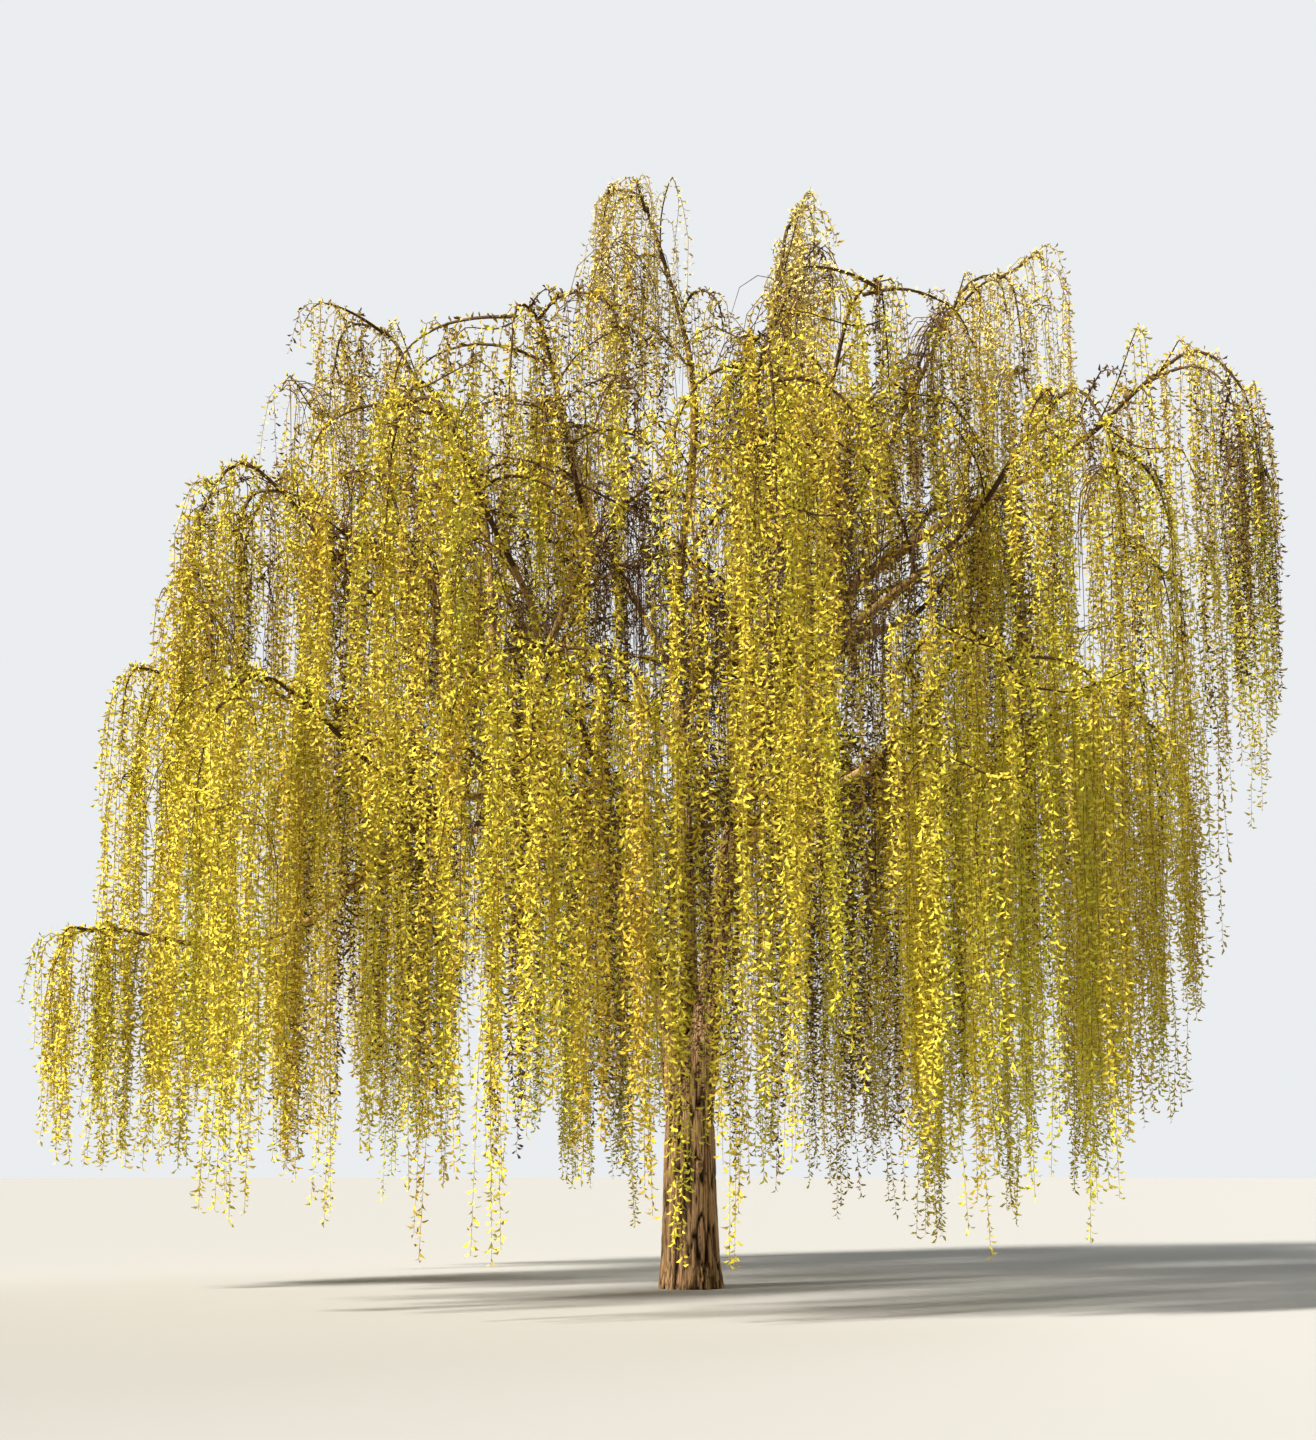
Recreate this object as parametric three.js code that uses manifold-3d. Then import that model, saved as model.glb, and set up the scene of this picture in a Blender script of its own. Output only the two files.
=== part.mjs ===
// A weeping willow in early spring: a short trunk that forks into three stems, boughs that leave
// the stems all round, and a mass of hanging foliage at the tip of each bough.
// Sizes are in millimetres and angles in degrees. +Z is up, azimuth 0 is the tree's right side,
// 90 its back, 180 its left and 270 its front. The origin is the centre of the trunk's flat cut.

import * as THREE from "three";
import { mergeVertices } from "three/addons/utils/BufferGeometryUtils.js";
import Module from "manifold-3d";

// Fit: neighbours that touch keep a gap, and sprays keep clear of what they don't hang from.
const GAP = 0.3;
const CLEARANCE = 15;

// Trunk, with its root flare and the widening under the fork
const TRUNK_HEIGHT = 2950;
const TRUNK_FOOT_RADIUS = 378;
const TRUNK_NECK_RADIUS = 312;
const TRUNK_NECK_HEIGHT = 2100;
const FLARE = 40;
const FLARE_HEIGHT = 260;
const FLARE_LOBES = 5;
const LOBE_DEPTH = 0.45;
const FORK_WIDENING = 40;
const TRUNK_SIDES = 20;
const TRUNK_RINGS = 8;
const RINGS_TO_FOOT = 1.4;

// Stems and boughs
const STEM_ROOT_DEPTH = 400;
const STEM_SIDES = 9;
const STEM_STEPS = 8;
const BOUGH_SIDES = 5;
const BOUGH_STEPS = 5;
const BOUGH_TIP_RADIUS = 40;
const BOUGH_ROOT_SHARE = 0.62;
const BOUGH_HANDLE = 0.3;
const STEM_PULL = 0.6;

// A mass's stem and the twigs that arch out of it
const MASS_STEM_SIDES = 3;
const MASS_STEM_STEPS = 6;
const MASS_RISE = 0.45;
const SHORTEST_RISE = 1200;
const CREST_INSET = 0.06;
const TWIG_SIDES = 3;
const TWIG_STEPS = 4;
const TWIG_RADIUS = 26;
const TIP_RADIUS = 12;
const FIRST_TWIG_AT = 0.06;
const TWIGS_TAKE = 0.7;
const TWIG_BELOW_TOP = 150;
const TWIG_PULL = 0.8;
const TWIG_HANDLE = 0.4;
const LEAST_TWIG_RISE = 0.15;

// A spray is one hanging bundle of strands: its rings of full width, and its pointed tip.
const SPRAY_WIDTH = 430;
const SPRAY_THICKNESS = 290;
const SPRAY_OFFSET = 120;
const SPRAY_DRIFT = 100;
const FIRST_RING = 0.65;
const SHORTEST_SPRAY = 800;
const SPRAY_RING_EVERY = 2400;
const MOST_SPRAY_RINGS = 3;
const STEM_SPRAYS = [0.2, 0.45, 0.72, 0.98];
const TWIG_SPRAYS = [0.4, 0.7, 0.98];
const HEM_SPREAD = 1300;
const TRIES = 4;

const SEED = 411;
const SEED_STEP = 37;
const SEED_FACTOR = 48271;
const SEED_MODULUS = 2147483647;

const BARK = { color: "#6f5336", roughness: 0.95, metalness: 0 };
const FOLIAGE = { color: "#c2b92a", roughness: 0.75, metalness: 0 };

// A stem's root lies at x and y inside the trunk's top; its tip is where its last bough goes on.
// It leaves the root and meets the tip along two handles.
const STEMS = {
  stem_right: {
    x: 135, y: -20, tip: [1750, 200, 8600], radii: [185, 105],
    leave: [250, 0, 2500], meet: [-1000, -100, -1200],
  },
  stem_left: {
    x: -165, y: -30, tip: [-2450, -500, 7300], radii: [155, 98],
    leave: [-120, 0, 1900], meet: [1100, 200, -1400],
  },
  stem_middle: {
    x: -15, y: 150, tip: [-150, 1350, 8500], radii: [135, 80],
    leave: [50, 250, 2000], meet: [100, -300, -2000],
  },
};

// Three tiers of masses. Reach, top and hem are [all round, more to the right, more to the back].
// The bough's tip is at tipShare of the reach, where it points up at the angle arrive, and the
// mass's stem arches from there over the top and ends at the reach, a drop lower. Spread is how
// far the mass goes to either side. A mass's bough leaves its stem at a share of the stem's
// length, and what a mass states in own takes the place of its tier's size.
const TIERS = [
  {
    reach: [4700, 0, 150], top: [12500, 350, 700], hem: [8000, 0, 400],
    tipShare: 0.62, tipBelowTop: 2100, arrive: 55, drop: 1500, spread: 1900, twigs: 4,
    masses: [
      {
        name: "crown_leader", stem: "stem_middle", at: 1, azimuth: 190,
        own: { reach: 1200, top: 14500, hem: 10200, tipShare: 0, arrive: 75, spread: 1300, twigs: 5 },
      },
      {
        name: "crown_peak", stem: "stem_right", at: 0.97, azimuth: 10,
        own: { reach: 1600, top: 14200, hem: 9400, spread: 1300, twigs: 5 },
      },
      { name: "crown_right", stem: "stem_right", at: 0.9, azimuth: 8, own: { top: 13600 } },
      { name: "crown_right_back", stem: "stem_middle", at: 0.93, azimuth: 62 },
      { name: "crown_left_back", stem: "stem_middle", at: 0.88, azimuth: 118 },
      { name: "crown_left", stem: "stem_left", at: 0.97, azimuth: 172, own: { reach: 5000, top: 12900 } },
      {
        name: "crown_left_front", stem: "stem_left", at: 0.9, azimuth: 240,
        own: { reach: 4300, top: 11500 },
      },
      { name: "crown_right_front", stem: "stem_right", at: 0.86, azimuth: 300, own: { top: 11700 } },
    ],
  },
  {
    reach: [6900, 150, 250], top: [10500, 300, 450], hem: [4300, 300, 0],
    tipShare: 0.63, tipBelowTop: 1650, arrive: 28, drop: 2300, spread: 1500, twigs: 3,
    masses: [
      {
        name: "shoulder_right", stem: "stem_right", at: 1, azimuth: 2,
        own: { reach: 7800, top: 12400, hem: 6200 },
      },
      { name: "shoulder_right_back", stem: "stem_right", at: 0.8, azimuth: 42 },
      { name: "shoulder_back_right", stem: "stem_middle", at: 0.8, azimuth: 80 },
      { name: "shoulder_back_left", stem: "stem_middle", at: 0.73, azimuth: 120 },
      { name: "shoulder_left_back", stem: "stem_left", at: 0.84, azimuth: 160, own: { top: 11200 } },
      { name: "shoulder_left_front", stem: "stem_left", at: 1, azimuth: 200, own: { reach: 6550 } },
      { name: "shoulder_front_left", stem: "stem_left", at: 0.8, azimuth: 240 },
      { name: "shoulder_front_right", stem: "stem_right", at: 0.7, azimuth: 277, own: { hem: 1300 } },
      {
        name: "shoulder_right_front", stem: "stem_right", at: 0.76, azimuth: 321,
        own: { reach: 6350, hem: 2500 },
      },
    ],
  },
  {
    reach: [6850, -350, 0], top: [7250, 200, 300], hem: [950, 0, 300],
    tipShare: 0.62, tipBelowTop: 1050, arrive: 16, drop: 1900, spread: 1400, twigs: 3,
    masses: [
      { name: "skirt_right_back", stem: "stem_right", at: 0.5, azimuth: 22 },
      { name: "skirt_back_right", stem: "stem_middle", at: 0.52, azimuth: 61 },
      { name: "skirt_back", stem: "stem_middle", at: 0.45, azimuth: 100 },
      { name: "skirt_left_back", stem: "stem_left", at: 0.5, azimuth: 140 },
      { name: "skirt_left", stem: "stem_left", at: 0.62, azimuth: 180, own: { top: 8100 } },
      { name: "skirt_left_front", stem: "stem_left", at: 0.7, azimuth: 220 },
      { name: "skirt_front", stem: "stem_left", at: 0.92, azimuth: 256, own: { top: 6800 } },
      { name: "skirt_right_front", stem: "stem_right", at: 0.42, azimuth: 301 },
      { name: "skirt_right", stem: "stem_right", at: 0.58, azimuth: 342, own: { reach: 6000, hem: 1500 } },
      {
        name: "low_left", stem: "stem_left", at: 0.86, azimuth: 186,
        own: {
          reach: 7950, top: 4400, hem: 1500, tipShare: 0.7, tipBelowTop: 200, arrive: -8,
          drop: 500, spread: 900,
        },
      },
    ],
  },
];

const wasm = await Module();
wasm.setup();

const { clamp, degToRad, lerp } = THREE.MathUtils;

function polar(azimuth, radius, z) {
  return new THREE.Vector3(radius * Math.cos(degToRad(azimuth)), radius * Math.sin(degToRad(azimuth)), z);
}

// The same seed always draws the same numbers.
function seeded(seed) {
  let state = seed;
  const next = () => {
    state = (state * SEED_FACTOR) % SEED_MODULUS;
    return state / SEED_MODULUS;
  };
  next();
  next();
  return (low, high) => low + (high - low) * next();
}

// Closed geometry to a solid that can be joined and cut
function solid(geometry) {
  const bare = geometry.clone();
  bare.deleteAttribute("normal");
  bare.deleteAttribute("uv");
  const merged = mergeVertices(bare, 1e-3);
  return new wasm.Manifold(
    new wasm.Mesh({
      numProp: 3,
      vertProperties: new Float32Array(merged.attributes.position.array),
      triVerts: new Uint32Array(merged.index.array),
    }),
  );
}

// And a solid back to geometry
function geometryOf(body) {
  const mesh = body.getMesh();
  const geometry = new THREE.BufferGeometry();
  geometry.setAttribute("position", new THREE.BufferAttribute(new Float32Array(mesh.vertProperties), 3));
  geometry.setIndex(new THREE.BufferAttribute(new Uint32Array(mesh.triVerts), 1));
  geometry.computeVertexNormals();
  return geometry;
}

// What a join or cut leaves besides the main body is a loose scrap.
function largest(body) {
  return body.decompose().reduce((best, piece) => (piece.volume() > best.volume() ? piece : best));
}

// A round bar bent along a curve, tapering between its two radii. One that is grown is thicker
// and longer all round, to cut its neighbours clear of the bar itself.
function limb({ curve, radii, sides, steps }, grow = 0) {
  const bar = new THREE.CylinderGeometry(1, 1, 1, sides, steps);
  const frames = curve.computeFrenetFrames(steps, false);
  const position = bar.attributes.position;
  for (let i = 0; i < position.count; i++) {
    const share = 0.5 + position.getY(i);
    const step = Math.round(share * steps);
    const radius = lerp(...radii, share) + grow;
    const lengthen = step === 0 ? -grow : step === steps ? grow : 0;
    const point = curve
      .getPointAt(share)
      .addScaledVector(frames.tangents[step], lengthen)
      .addScaledVector(frames.normals[step], radius * position.getZ(i))
      .addScaledVector(frames.binormals[step], radius * position.getX(i));
    position.setXYZ(i, point.x, point.y, point.z);
  }
  return solid(bar);
}

// The point at a share of a bar's length, on the centre line of its straight facets there
function pointOn({ curve, steps }, share) {
  const step = Math.min(Math.floor(share * steps), steps - 1);
  return curve.getPointAt(step / steps).lerp(curve.getPointAt((step + 1) / steps), share * steps - step);
}

// The same bar as a chain of straight tapering segments, to measure distances from
function chainOf(curve, [r0, r1], segments) {
  return Array.from({ length: segments }, (_, i) => {
    const [u, v] = [i / segments, (i + 1) / segments];
    return { a: curve.getPointAt(u), b: curve.getPointAt(v), ra: lerp(r0, r1, u), rb: lerp(r0, r1, v) };
  });
}

// Free distance between two tapering segments, where their centre lines are closest
function freeDistance(p, q) {
  const d1 = p.b.clone().sub(p.a);
  const d2 = q.b.clone().sub(q.a);
  const r = p.a.clone().sub(q.a);
  const [a, b, c, e, f] = [d1.dot(d1), d1.dot(d2), d1.dot(r), d2.dot(d2), d2.dot(r)];
  const slant = a * e - b * b;
  const guess = slant > 1e-6 * a * e ? clamp((b * f - c * e) / slant, 0, 1) : 0.5;
  const t = clamp((b * guess + f) / e, 0, 1);
  const s = clamp((b * t - c) / a, 0, 1);
  const onP = p.a.clone().addScaledVector(d1, s);
  const onQ = q.a.clone().addScaledVector(d2, t);
  return onP.distanceTo(onQ) - lerp(p.ra, p.rb, s) - lerp(q.ra, q.rb, t);
}

// All that has been placed so far, by owner. A spray may meet only the twigs of its own mass.
const placed = [];

function place(owner, chain, isSpray = false) {
  chain.forEach((segment) => placed.push({ owner, isSpray, ...segment }));
}

function isFree(owner, chain) {
  const others = placed.filter((other) => other.owner !== owner || other.isSpray);
  return chain.every((segment) => others.every((other) => freeDistance(segment, other) > CLEARANCE));
}

// Trunk: tapering, lobed at the root flare, and wider across the tree where it forks
function trunkRadius(angle, z) {
  const plain = lerp(TRUNK_FOOT_RADIUS, TRUNK_NECK_RADIUS, Math.min(1, z / TRUNK_NECK_HEIGHT));
  const lobes = 1 + LOBE_DEPTH * Math.cos(FLARE_LOBES * angle);
  const flare = FLARE * lobes * Math.exp(-z / FLARE_HEIGHT);
  const forkShare = clamp((z - TRUNK_NECK_HEIGHT) / (TRUNK_HEIGHT - TRUNK_NECK_HEIGHT), 0, 1);
  return plain + flare + FORK_WIDENING * forkShare * Math.abs(Math.cos(angle));
}

function trunk(grow = 0) {
  const bar = new THREE.CylinderGeometry(1, 1, 1, TRUNK_SIDES, TRUNK_RINGS);
  const position = bar.attributes.position;
  for (let i = 0; i < position.count; i++) {
    const z = (0.5 + position.getY(i)) ** RINGS_TO_FOOT * (TRUNK_HEIGHT + grow);
    const onRim = Math.hypot(position.getX(i), position.getZ(i));
    const angle = Math.atan2(position.getX(i), position.getZ(i));
    const radius = onRim * (trunkRadius(angle, z) + grow);
    position.setXYZ(i, radius * Math.cos(angle), radius * Math.sin(angle), z);
  }
  return solid(bar);
}

function stemCurve({ x, y, tip, leave, meet }) {
  const root = new THREE.Vector3(x, y, TRUNK_HEIGHT - STEM_ROOT_DEPTH);
  const end = new THREE.Vector3(...tip);
  const [outOfRoot, intoTip] = [new THREE.Vector3(...leave).add(root), new THREE.Vector3(...meet).add(end)];
  return new THREE.CubicBezierCurve3(root, outOfRoot, intoTip, end);
}

// A mass with all its sizes: its own, or else its tier's at its azimuth
function sized({ masses, ...tier }, { own, ...mass }) {
  const around = ([all, right, back]) =>
    all + right * Math.cos(degToRad(mass.azimuth)) + back * Math.sin(degToRad(mass.azimuth));
  const swung = { reach: around(tier.reach), top: around(tier.top), hem: around(tier.hem) };
  const size = { ...tier, ...swung, ...mass, ...own };
  size.tip = polar(size.azimuth, size.tipShare * size.reach, size.top - size.tipBelowTop);
  size.end = polar(size.azimuth, size.reach, size.top - size.drop);
  size.outward = polar(size.azimuth, 1, 0);
  size.arrival = polar(size.azimuth, Math.cos(degToRad(size.arrive)), Math.sin(degToRad(size.arrive)));
  return size;
}

// A bough leaves its stem between the stem's own direction and the way to the mass. One that
// leaves at the stem's very tip goes straight on from it.
function boughCurve({ at, tip, arrival }, stem) {
  const isLast = at === 1;
  const along = stem.getTangentAt(at);
  const root = stem.getPointAt(at).addScaledVector(along, isLast ? GAP : 0);
  const way = tip.clone().sub(root);
  const handle = BOUGH_HANDLE * way.length();
  const leave = isLast ? along : along.clone().multiplyScalar(STEM_PULL).add(way.normalize()).normalize();
  const outOfRoot = root.clone().addScaledVector(leave, handle);
  const intoTip = tip.clone().addScaledVector(arrival, -handle);
  return new THREE.CubicBezierCurve3(root, outOfRoot, intoTip, tip);
}

// A mass's stem goes on from its bough's tip, arches over and turns down at its reach. The
// handle over the crest is raised until the highest joint of the stem is at the top.
function massStemCurve({ azimuth, reach, tipShare, top, tip, arrival, end }) {
  const across = reach * (1 - tipShare);
  const start = tip.clone().addScaledVector(arrival, GAP);
  const rise = start.clone().addScaledVector(arrival, MASS_RISE * Math.max(across, SHORTEST_RISE));
  const arch = (crest) =>
    new THREE.CubicBezierCurve3(start, rise, polar(azimuth, reach - CREST_INSET * across, crest), end);
  const highest = (curve) => Math.max(...curve.getSpacedPoints(MASS_STEM_STEPS).map(({ z }) => z));
  let [low, high] = [end.z, 2 * top];
  while (high - low > 1) {
    const middle = (low + high) / 2;
    if (highest(arch(middle)) < top) low = middle;
    else high = middle;
  }
  return arch(low);
}

// Side twigs arch out of the mass's stem, left and right in turn; the first turns back inwards.
function twigCurve(size, stem, index, draw) {
  const side = index % 2 ? -1 : 1;
  const at = FIRST_TWIG_AT + (TWIGS_TAKE * (index + draw(0.1, 0.9))) / size.twigs;
  const root = pointOn(stem, at);
  const outShare = index === 0 ? draw(-0.5, -0.1) : draw(0.3, 0.9);
  const radius = lerp(size.outward.dot(root), size.reach, outShare);
  const height = Math.min(root.z, size.top - TWIG_BELOW_TOP) - draw(0.2, 0.5) * size.drop;
  const sideways = side * draw(0.6, 0.95) * size.spread;
  const end = polar(size.azimuth, radius, height).addScaledVector(polar(size.azimuth + 90, 1, 0), sideways);
  const way = end.clone().sub(root);
  const crest = Math.min(end.z + 0.5 * way.length(), size.top);
  const lead = stem.curve.getTangentAt(at).multiplyScalar(TWIG_PULL).add(way.clone().setZ(0).normalize());
  lead.setZ(Math.max(LEAST_TWIG_RISE, lead.z)).normalize();
  const outOfRoot = root.clone().addScaledVector(lead, TWIG_HANDLE * way.length());
  return new THREE.CubicBezierCurve3(root, outOfRoot, end.clone().setZ(crest), end);
}

// A spray's centre line: out of the twig, then straight down through its rings to its tip
function sprayRings({ root, azimuth, length, widths }) {
  const rings = widths.map((width, index) => {
    const share = (index + FIRST_RING) / (widths.length + FIRST_RING);
    const out = SPRAY_OFFSET + (index % 2) * SPRAY_DRIFT;
    return { centre: root.clone().add(polar(azimuth, out, -share * length)), width };
  });
  const tip = rings.at(-1).centre.clone().setZ(root.z - length);
  return [{ centre: root, width: 0 }, ...rings, { centre: tip, width: 0 }];
}

// A sphere of four meridians, drawn out along the spray's rings
function sprayBody(spray) {
  const rings = sprayRings(spray);
  const body = new THREE.SphereGeometry(1, 4, rings.length - 1);
  const position = body.attributes.position;
  const out = polar(spray.azimuth, SPRAY_THICKNESS / SPRAY_WIDTH / 2, 0);
  const across = polar(spray.azimuth + 90, 0.5, 0);
  for (let i = 0; i < position.count; i++) {
    const latitude = Math.acos(clamp(position.getY(i), -1, 1));
    const { centre, width } = rings[Math.round((latitude / Math.PI) * (rings.length - 1))];
    const onRim = Math.hypot(position.getX(i), position.getZ(i)) || 1;
    const point = centre
      .clone()
      .addScaledVector(out, (width * position.getZ(i)) / onRim)
      .addScaledVector(across, (width * position.getX(i)) / onRim);
    position.setXYZ(i, point.x, point.y, point.z);
  }
  return solid(body);
}

function sprayChain(spray) {
  const rings = sprayRings(spray);
  return rings.slice(1).flatMap((ring, i) => {
    const line = new THREE.LineCurve3(rings[i].centre, ring.centre);
    return chainOf(line, [rings[i].width / 2, ring.width / 2], 2);
  });
}

// Distance in plan from a point to the line between the bough's tip and the mass's reach
function planDistance(point, { tip, end }) {
  const line = new THREE.Line3(tip.clone().setZ(0), end.clone().setZ(0));
  const flat = point.clone().setZ(0);
  return line.closestPointToPoint(flat, true, new THREE.Vector3()).distanceTo(flat);
}

// A spray hangs from its twig to the hem, or is left out where it finds no room.
function drawSpray(size, twig, share, draw) {
  const root = pointOn(twig, share + draw(-0.08, 0.015));
  const length = root.z - size.hem - draw(0, HEM_SPREAD);
  const azimuth = draw(0, 360);
  const rings = clamp(Math.ceil(length / SPRAY_RING_EVERY), 1, MOST_SPRAY_RINGS);
  const widths = Array.from({ length: rings }, () => SPRAY_WIDTH * draw(0.7, 1.25));
  const spray = { root, azimuth, length, widths };
  const isInSpace = length > SHORTEST_SPRAY && planDistance(root, size) < size.spread;
  return isInSpace && isFree(size.name, sprayChain(spray)) ? spray : null;
}

// The tree is put together: trunk, stems, boughs, and then the masses.
const willow = new THREE.Group();

function addMesh(name, body, finish) {
  const mesh = new THREE.Mesh(geometryOf(body), new THREE.MeshStandardMaterial(finish));
  mesh.name = name;
  willow.add(mesh);
}

addMesh("trunk", trunk(), BARK);
const trunkLine = new THREE.LineCurve3(new THREE.Vector3(), new THREE.Vector3(0, 0, TRUNK_HEIGHT));
place("trunk", chainOf(trunkLine, [TRUNK_FOOT_RADIUS + FLARE, TRUNK_NECK_RADIUS + FORK_WIDENING], 4));

// Each limb is cut clear of the limbs before it, so a bough starts at its stem's surface.
let limbsSoFar = trunk(GAP);

function addLimb(name, bar) {
  addMesh(name, largest(limb(bar).subtract(limbsSoFar)), BARK);
  limbsSoFar = limbsSoFar.add(limb(bar, GAP));
  place(name, chainOf(bar.curve, bar.radii, 2 * bar.steps));
}

for (const [name, stem] of Object.entries(STEMS)) {
  stem.curve = stemCurve(stem);
  addLimb(name, { curve: stem.curve, radii: stem.radii, sides: STEM_SIDES, steps: STEM_STEPS });
}

const masses = TIERS.flatMap((tier) => tier.masses.map((mass) => sized(tier, mass)));
for (const mass of masses) {
  const stem = STEMS[mass.stem];
  const rootRadius = lerp(...stem.radii, mass.at) * (mass.at === 1 ? 1 : BOUGH_ROOT_SHARE);
  const radii = [rootRadius, BOUGH_TIP_RADIUS];
  const curve = boughCurve(mass, stem.curve);
  addLimb(`bough_${mass.name}`, { curve, radii, sides: BOUGH_SIDES, steps: BOUGH_STEPS });
}

// Every mass gets its stem first, then its twigs, so that none is shut in by its neighbours.
masses.forEach((mass, index) => {
  const radii = [BOUGH_TIP_RADIUS, TIP_RADIUS];
  mass.draw = seeded(SEED + SEED_STEP * index);
  mass.limbs = [{ curve: massStemCurve(mass), radii, sides: MASS_STEM_SIDES, steps: MASS_STEM_STEPS }];
  place(mass.name, chainOf(mass.limbs[0].curve, radii, MASS_STEM_STEPS));
});
for (const mass of masses) {
  const radii = [TWIG_RADIUS, TIP_RADIUS];
  for (let i = 0; i < mass.twigs; i++) {
    const curve = twigCurve(mass, mass.limbs[0], i, mass.draw);
    const chain = chainOf(curve, radii, TWIG_STEPS);
    if (!isFree(mass.name, chain)) continue;
    place(mass.name, chain);
    mass.limbs.push({ curve, radii, sides: TWIG_SIDES, steps: TWIG_STEPS });
  }
}

// Then the sprays are hung, with a few tries for each place.
function hangSpray(mass, twig, share) {
  for (let i = 0; i < TRIES; i++) {
    const spray = drawSpray(mass, twig, share, mass.draw);
    if (!spray) continue;
    place(mass.name, sprayChain(spray), true);
    return [sprayBody(spray)];
  }
  return [];
}

for (const mass of masses) {
  const parts = mass.limbs.map((bar) => limb(bar));
  mass.limbs.forEach((bar, index) => {
    const shares = index === 0 ? STEM_SPRAYS : TWIG_SPRAYS;
    parts.push(...shares.flatMap((share) => hangSpray(mass, bar, share)));
  });
  addMesh(mass.name, largest(parts.reduce((body, part) => body.add(part))), FOLIAGE);
}

export default willow;
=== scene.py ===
# A weeping willow in early spring: furrowed bark on the trunk, stems and boughs, and in place of
# each mass of foliage its arching twigs, hanging strands, curled leaves and catkins.
# Sizes are in metres and angles in degrees. Azimuth 0 is the tree's right side, 270 its front.

import functools
import math
from types import SimpleNamespace

import bmesh
import bpy
import numpy as np
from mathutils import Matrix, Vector, noise


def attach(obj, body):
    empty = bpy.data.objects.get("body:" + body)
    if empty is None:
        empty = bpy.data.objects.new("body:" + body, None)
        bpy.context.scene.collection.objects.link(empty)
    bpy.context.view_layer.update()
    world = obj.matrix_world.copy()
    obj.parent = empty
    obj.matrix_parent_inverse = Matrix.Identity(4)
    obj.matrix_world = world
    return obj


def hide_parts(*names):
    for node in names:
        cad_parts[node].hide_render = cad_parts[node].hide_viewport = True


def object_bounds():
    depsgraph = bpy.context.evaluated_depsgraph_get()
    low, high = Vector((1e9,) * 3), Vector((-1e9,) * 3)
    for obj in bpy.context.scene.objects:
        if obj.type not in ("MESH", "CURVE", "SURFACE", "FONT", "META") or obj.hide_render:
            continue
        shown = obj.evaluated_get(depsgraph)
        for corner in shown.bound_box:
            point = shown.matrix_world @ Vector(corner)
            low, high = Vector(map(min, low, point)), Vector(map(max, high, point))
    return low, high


bl_info = {
    "name": "Weeping Willow",
    "version": (1, 0, 0),
    "blender": (4, 5, 0),
    "location": "View3D > Sidebar > Willow",
    "description": "Grows bark, twigs, strands, leaves and catkins on a weeping willow's limbs",
    "category": "Object",
}

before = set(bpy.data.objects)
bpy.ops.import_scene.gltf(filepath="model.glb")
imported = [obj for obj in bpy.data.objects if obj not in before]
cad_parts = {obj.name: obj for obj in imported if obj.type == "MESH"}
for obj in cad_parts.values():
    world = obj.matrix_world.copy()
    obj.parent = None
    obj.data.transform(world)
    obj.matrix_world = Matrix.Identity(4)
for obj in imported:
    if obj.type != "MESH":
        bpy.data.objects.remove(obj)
CAD_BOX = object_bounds()

# The limbs' rule, with the same sizes, seeds and order of draws as the solids
GAP = 0.0003
CLEARANCE = 0.015
PARALLEL = 1e-6

TRUNK_HEIGHT = 2.95
TRUNK_FOOT_RADIUS = 0.378
TRUNK_NECK_RADIUS = 0.312
TRUNK_NECK_HEIGHT = 2.1
FLARE = 0.04
FLARE_HEIGHT = 0.26
FLARE_LOBES = 5
LOBE_DEPTH = 0.45
FORK_WIDENING = 0.04
TRUNK_STEPS = 2

STEM_ROOT_DEPTH = 0.4
STEM_STEPS = 8
BOUGH_STEPS = 5
BOUGH_TIP_RADIUS = 0.04
BOUGH_ROOT_SHARE = 0.62
BOUGH_HANDLE = 0.3
STEM_PULL = 0.6

MASS_STEM_STEPS = 6
MASS_RISE = 0.45
SHORTEST_RISE = 1.2
CREST_INSET = 0.06
CREST_ERROR = 0.001
TWIG_STEPS = 4
TWIG_RADIUS = 0.026
TIP_RADIUS = 0.012
FIRST_TWIG_AT = 0.06
TWIGS_TAKE = 0.7
TWIG_BELOW_TOP = 0.15
TWIG_PULL = 0.8
TWIG_HANDLE = 0.4
LEAST_TWIG_RISE = 0.15
TWIG_CREST = 0.5
TWIG_AT = (0.1, 0.9)
FIRST_TWIG_OUT = (-0.5, -0.1)
TWIG_OUT = (0.3, 0.9)
TWIG_DROP = (0.2, 0.5)
TWIG_SIDEWAYS = (0.6, 0.95)

SPRAY_WIDTH = 0.43
SPRAY_WIDENING = (0.7, 1.25)
SPRAY_SHIFT = (-0.08, 0.015)
SPRAY_OFFSET = 0.12
SPRAY_DRIFT = 0.1
FIRST_RING = 0.65
SHORTEST_SPRAY = 0.8
SPRAY_RING_EVERY = 2.4
MOST_SPRAY_RINGS = 3
STEM_SPRAYS = (0.2, 0.45, 0.72, 0.98)
TWIG_SPRAYS = (0.4, 0.7, 0.98)
HEM_SPREAD = 1.3
TRIES = 4

SEED = 411
SEED_STEP = 37
SEED_FACTOR = 48271
SEED_MODULUS = 2147483647

STEMS = {
    "stem_right": dict(
        root=(0.135, -0.02), tip=(1.75, 0.2, 8.6), radii=(0.185, 0.105),
        leave=(0.25, 0, 2.5), meet=(-1.0, -0.1, -1.2),
    ),
    "stem_left": dict(
        root=(-0.165, -0.03), tip=(-2.45, -0.5, 7.3), radii=(0.155, 0.098),
        leave=(-0.12, 0, 1.9), meet=(1.1, 0.2, -1.4),
    ),
    "stem_middle": dict(
        root=(-0.015, 0.15), tip=(-0.15, 1.35, 8.5), radii=(0.135, 0.08),
        leave=(0.05, 0.25, 2.0), meet=(0.1, -0.3, -2.0),
    ),
}

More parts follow.
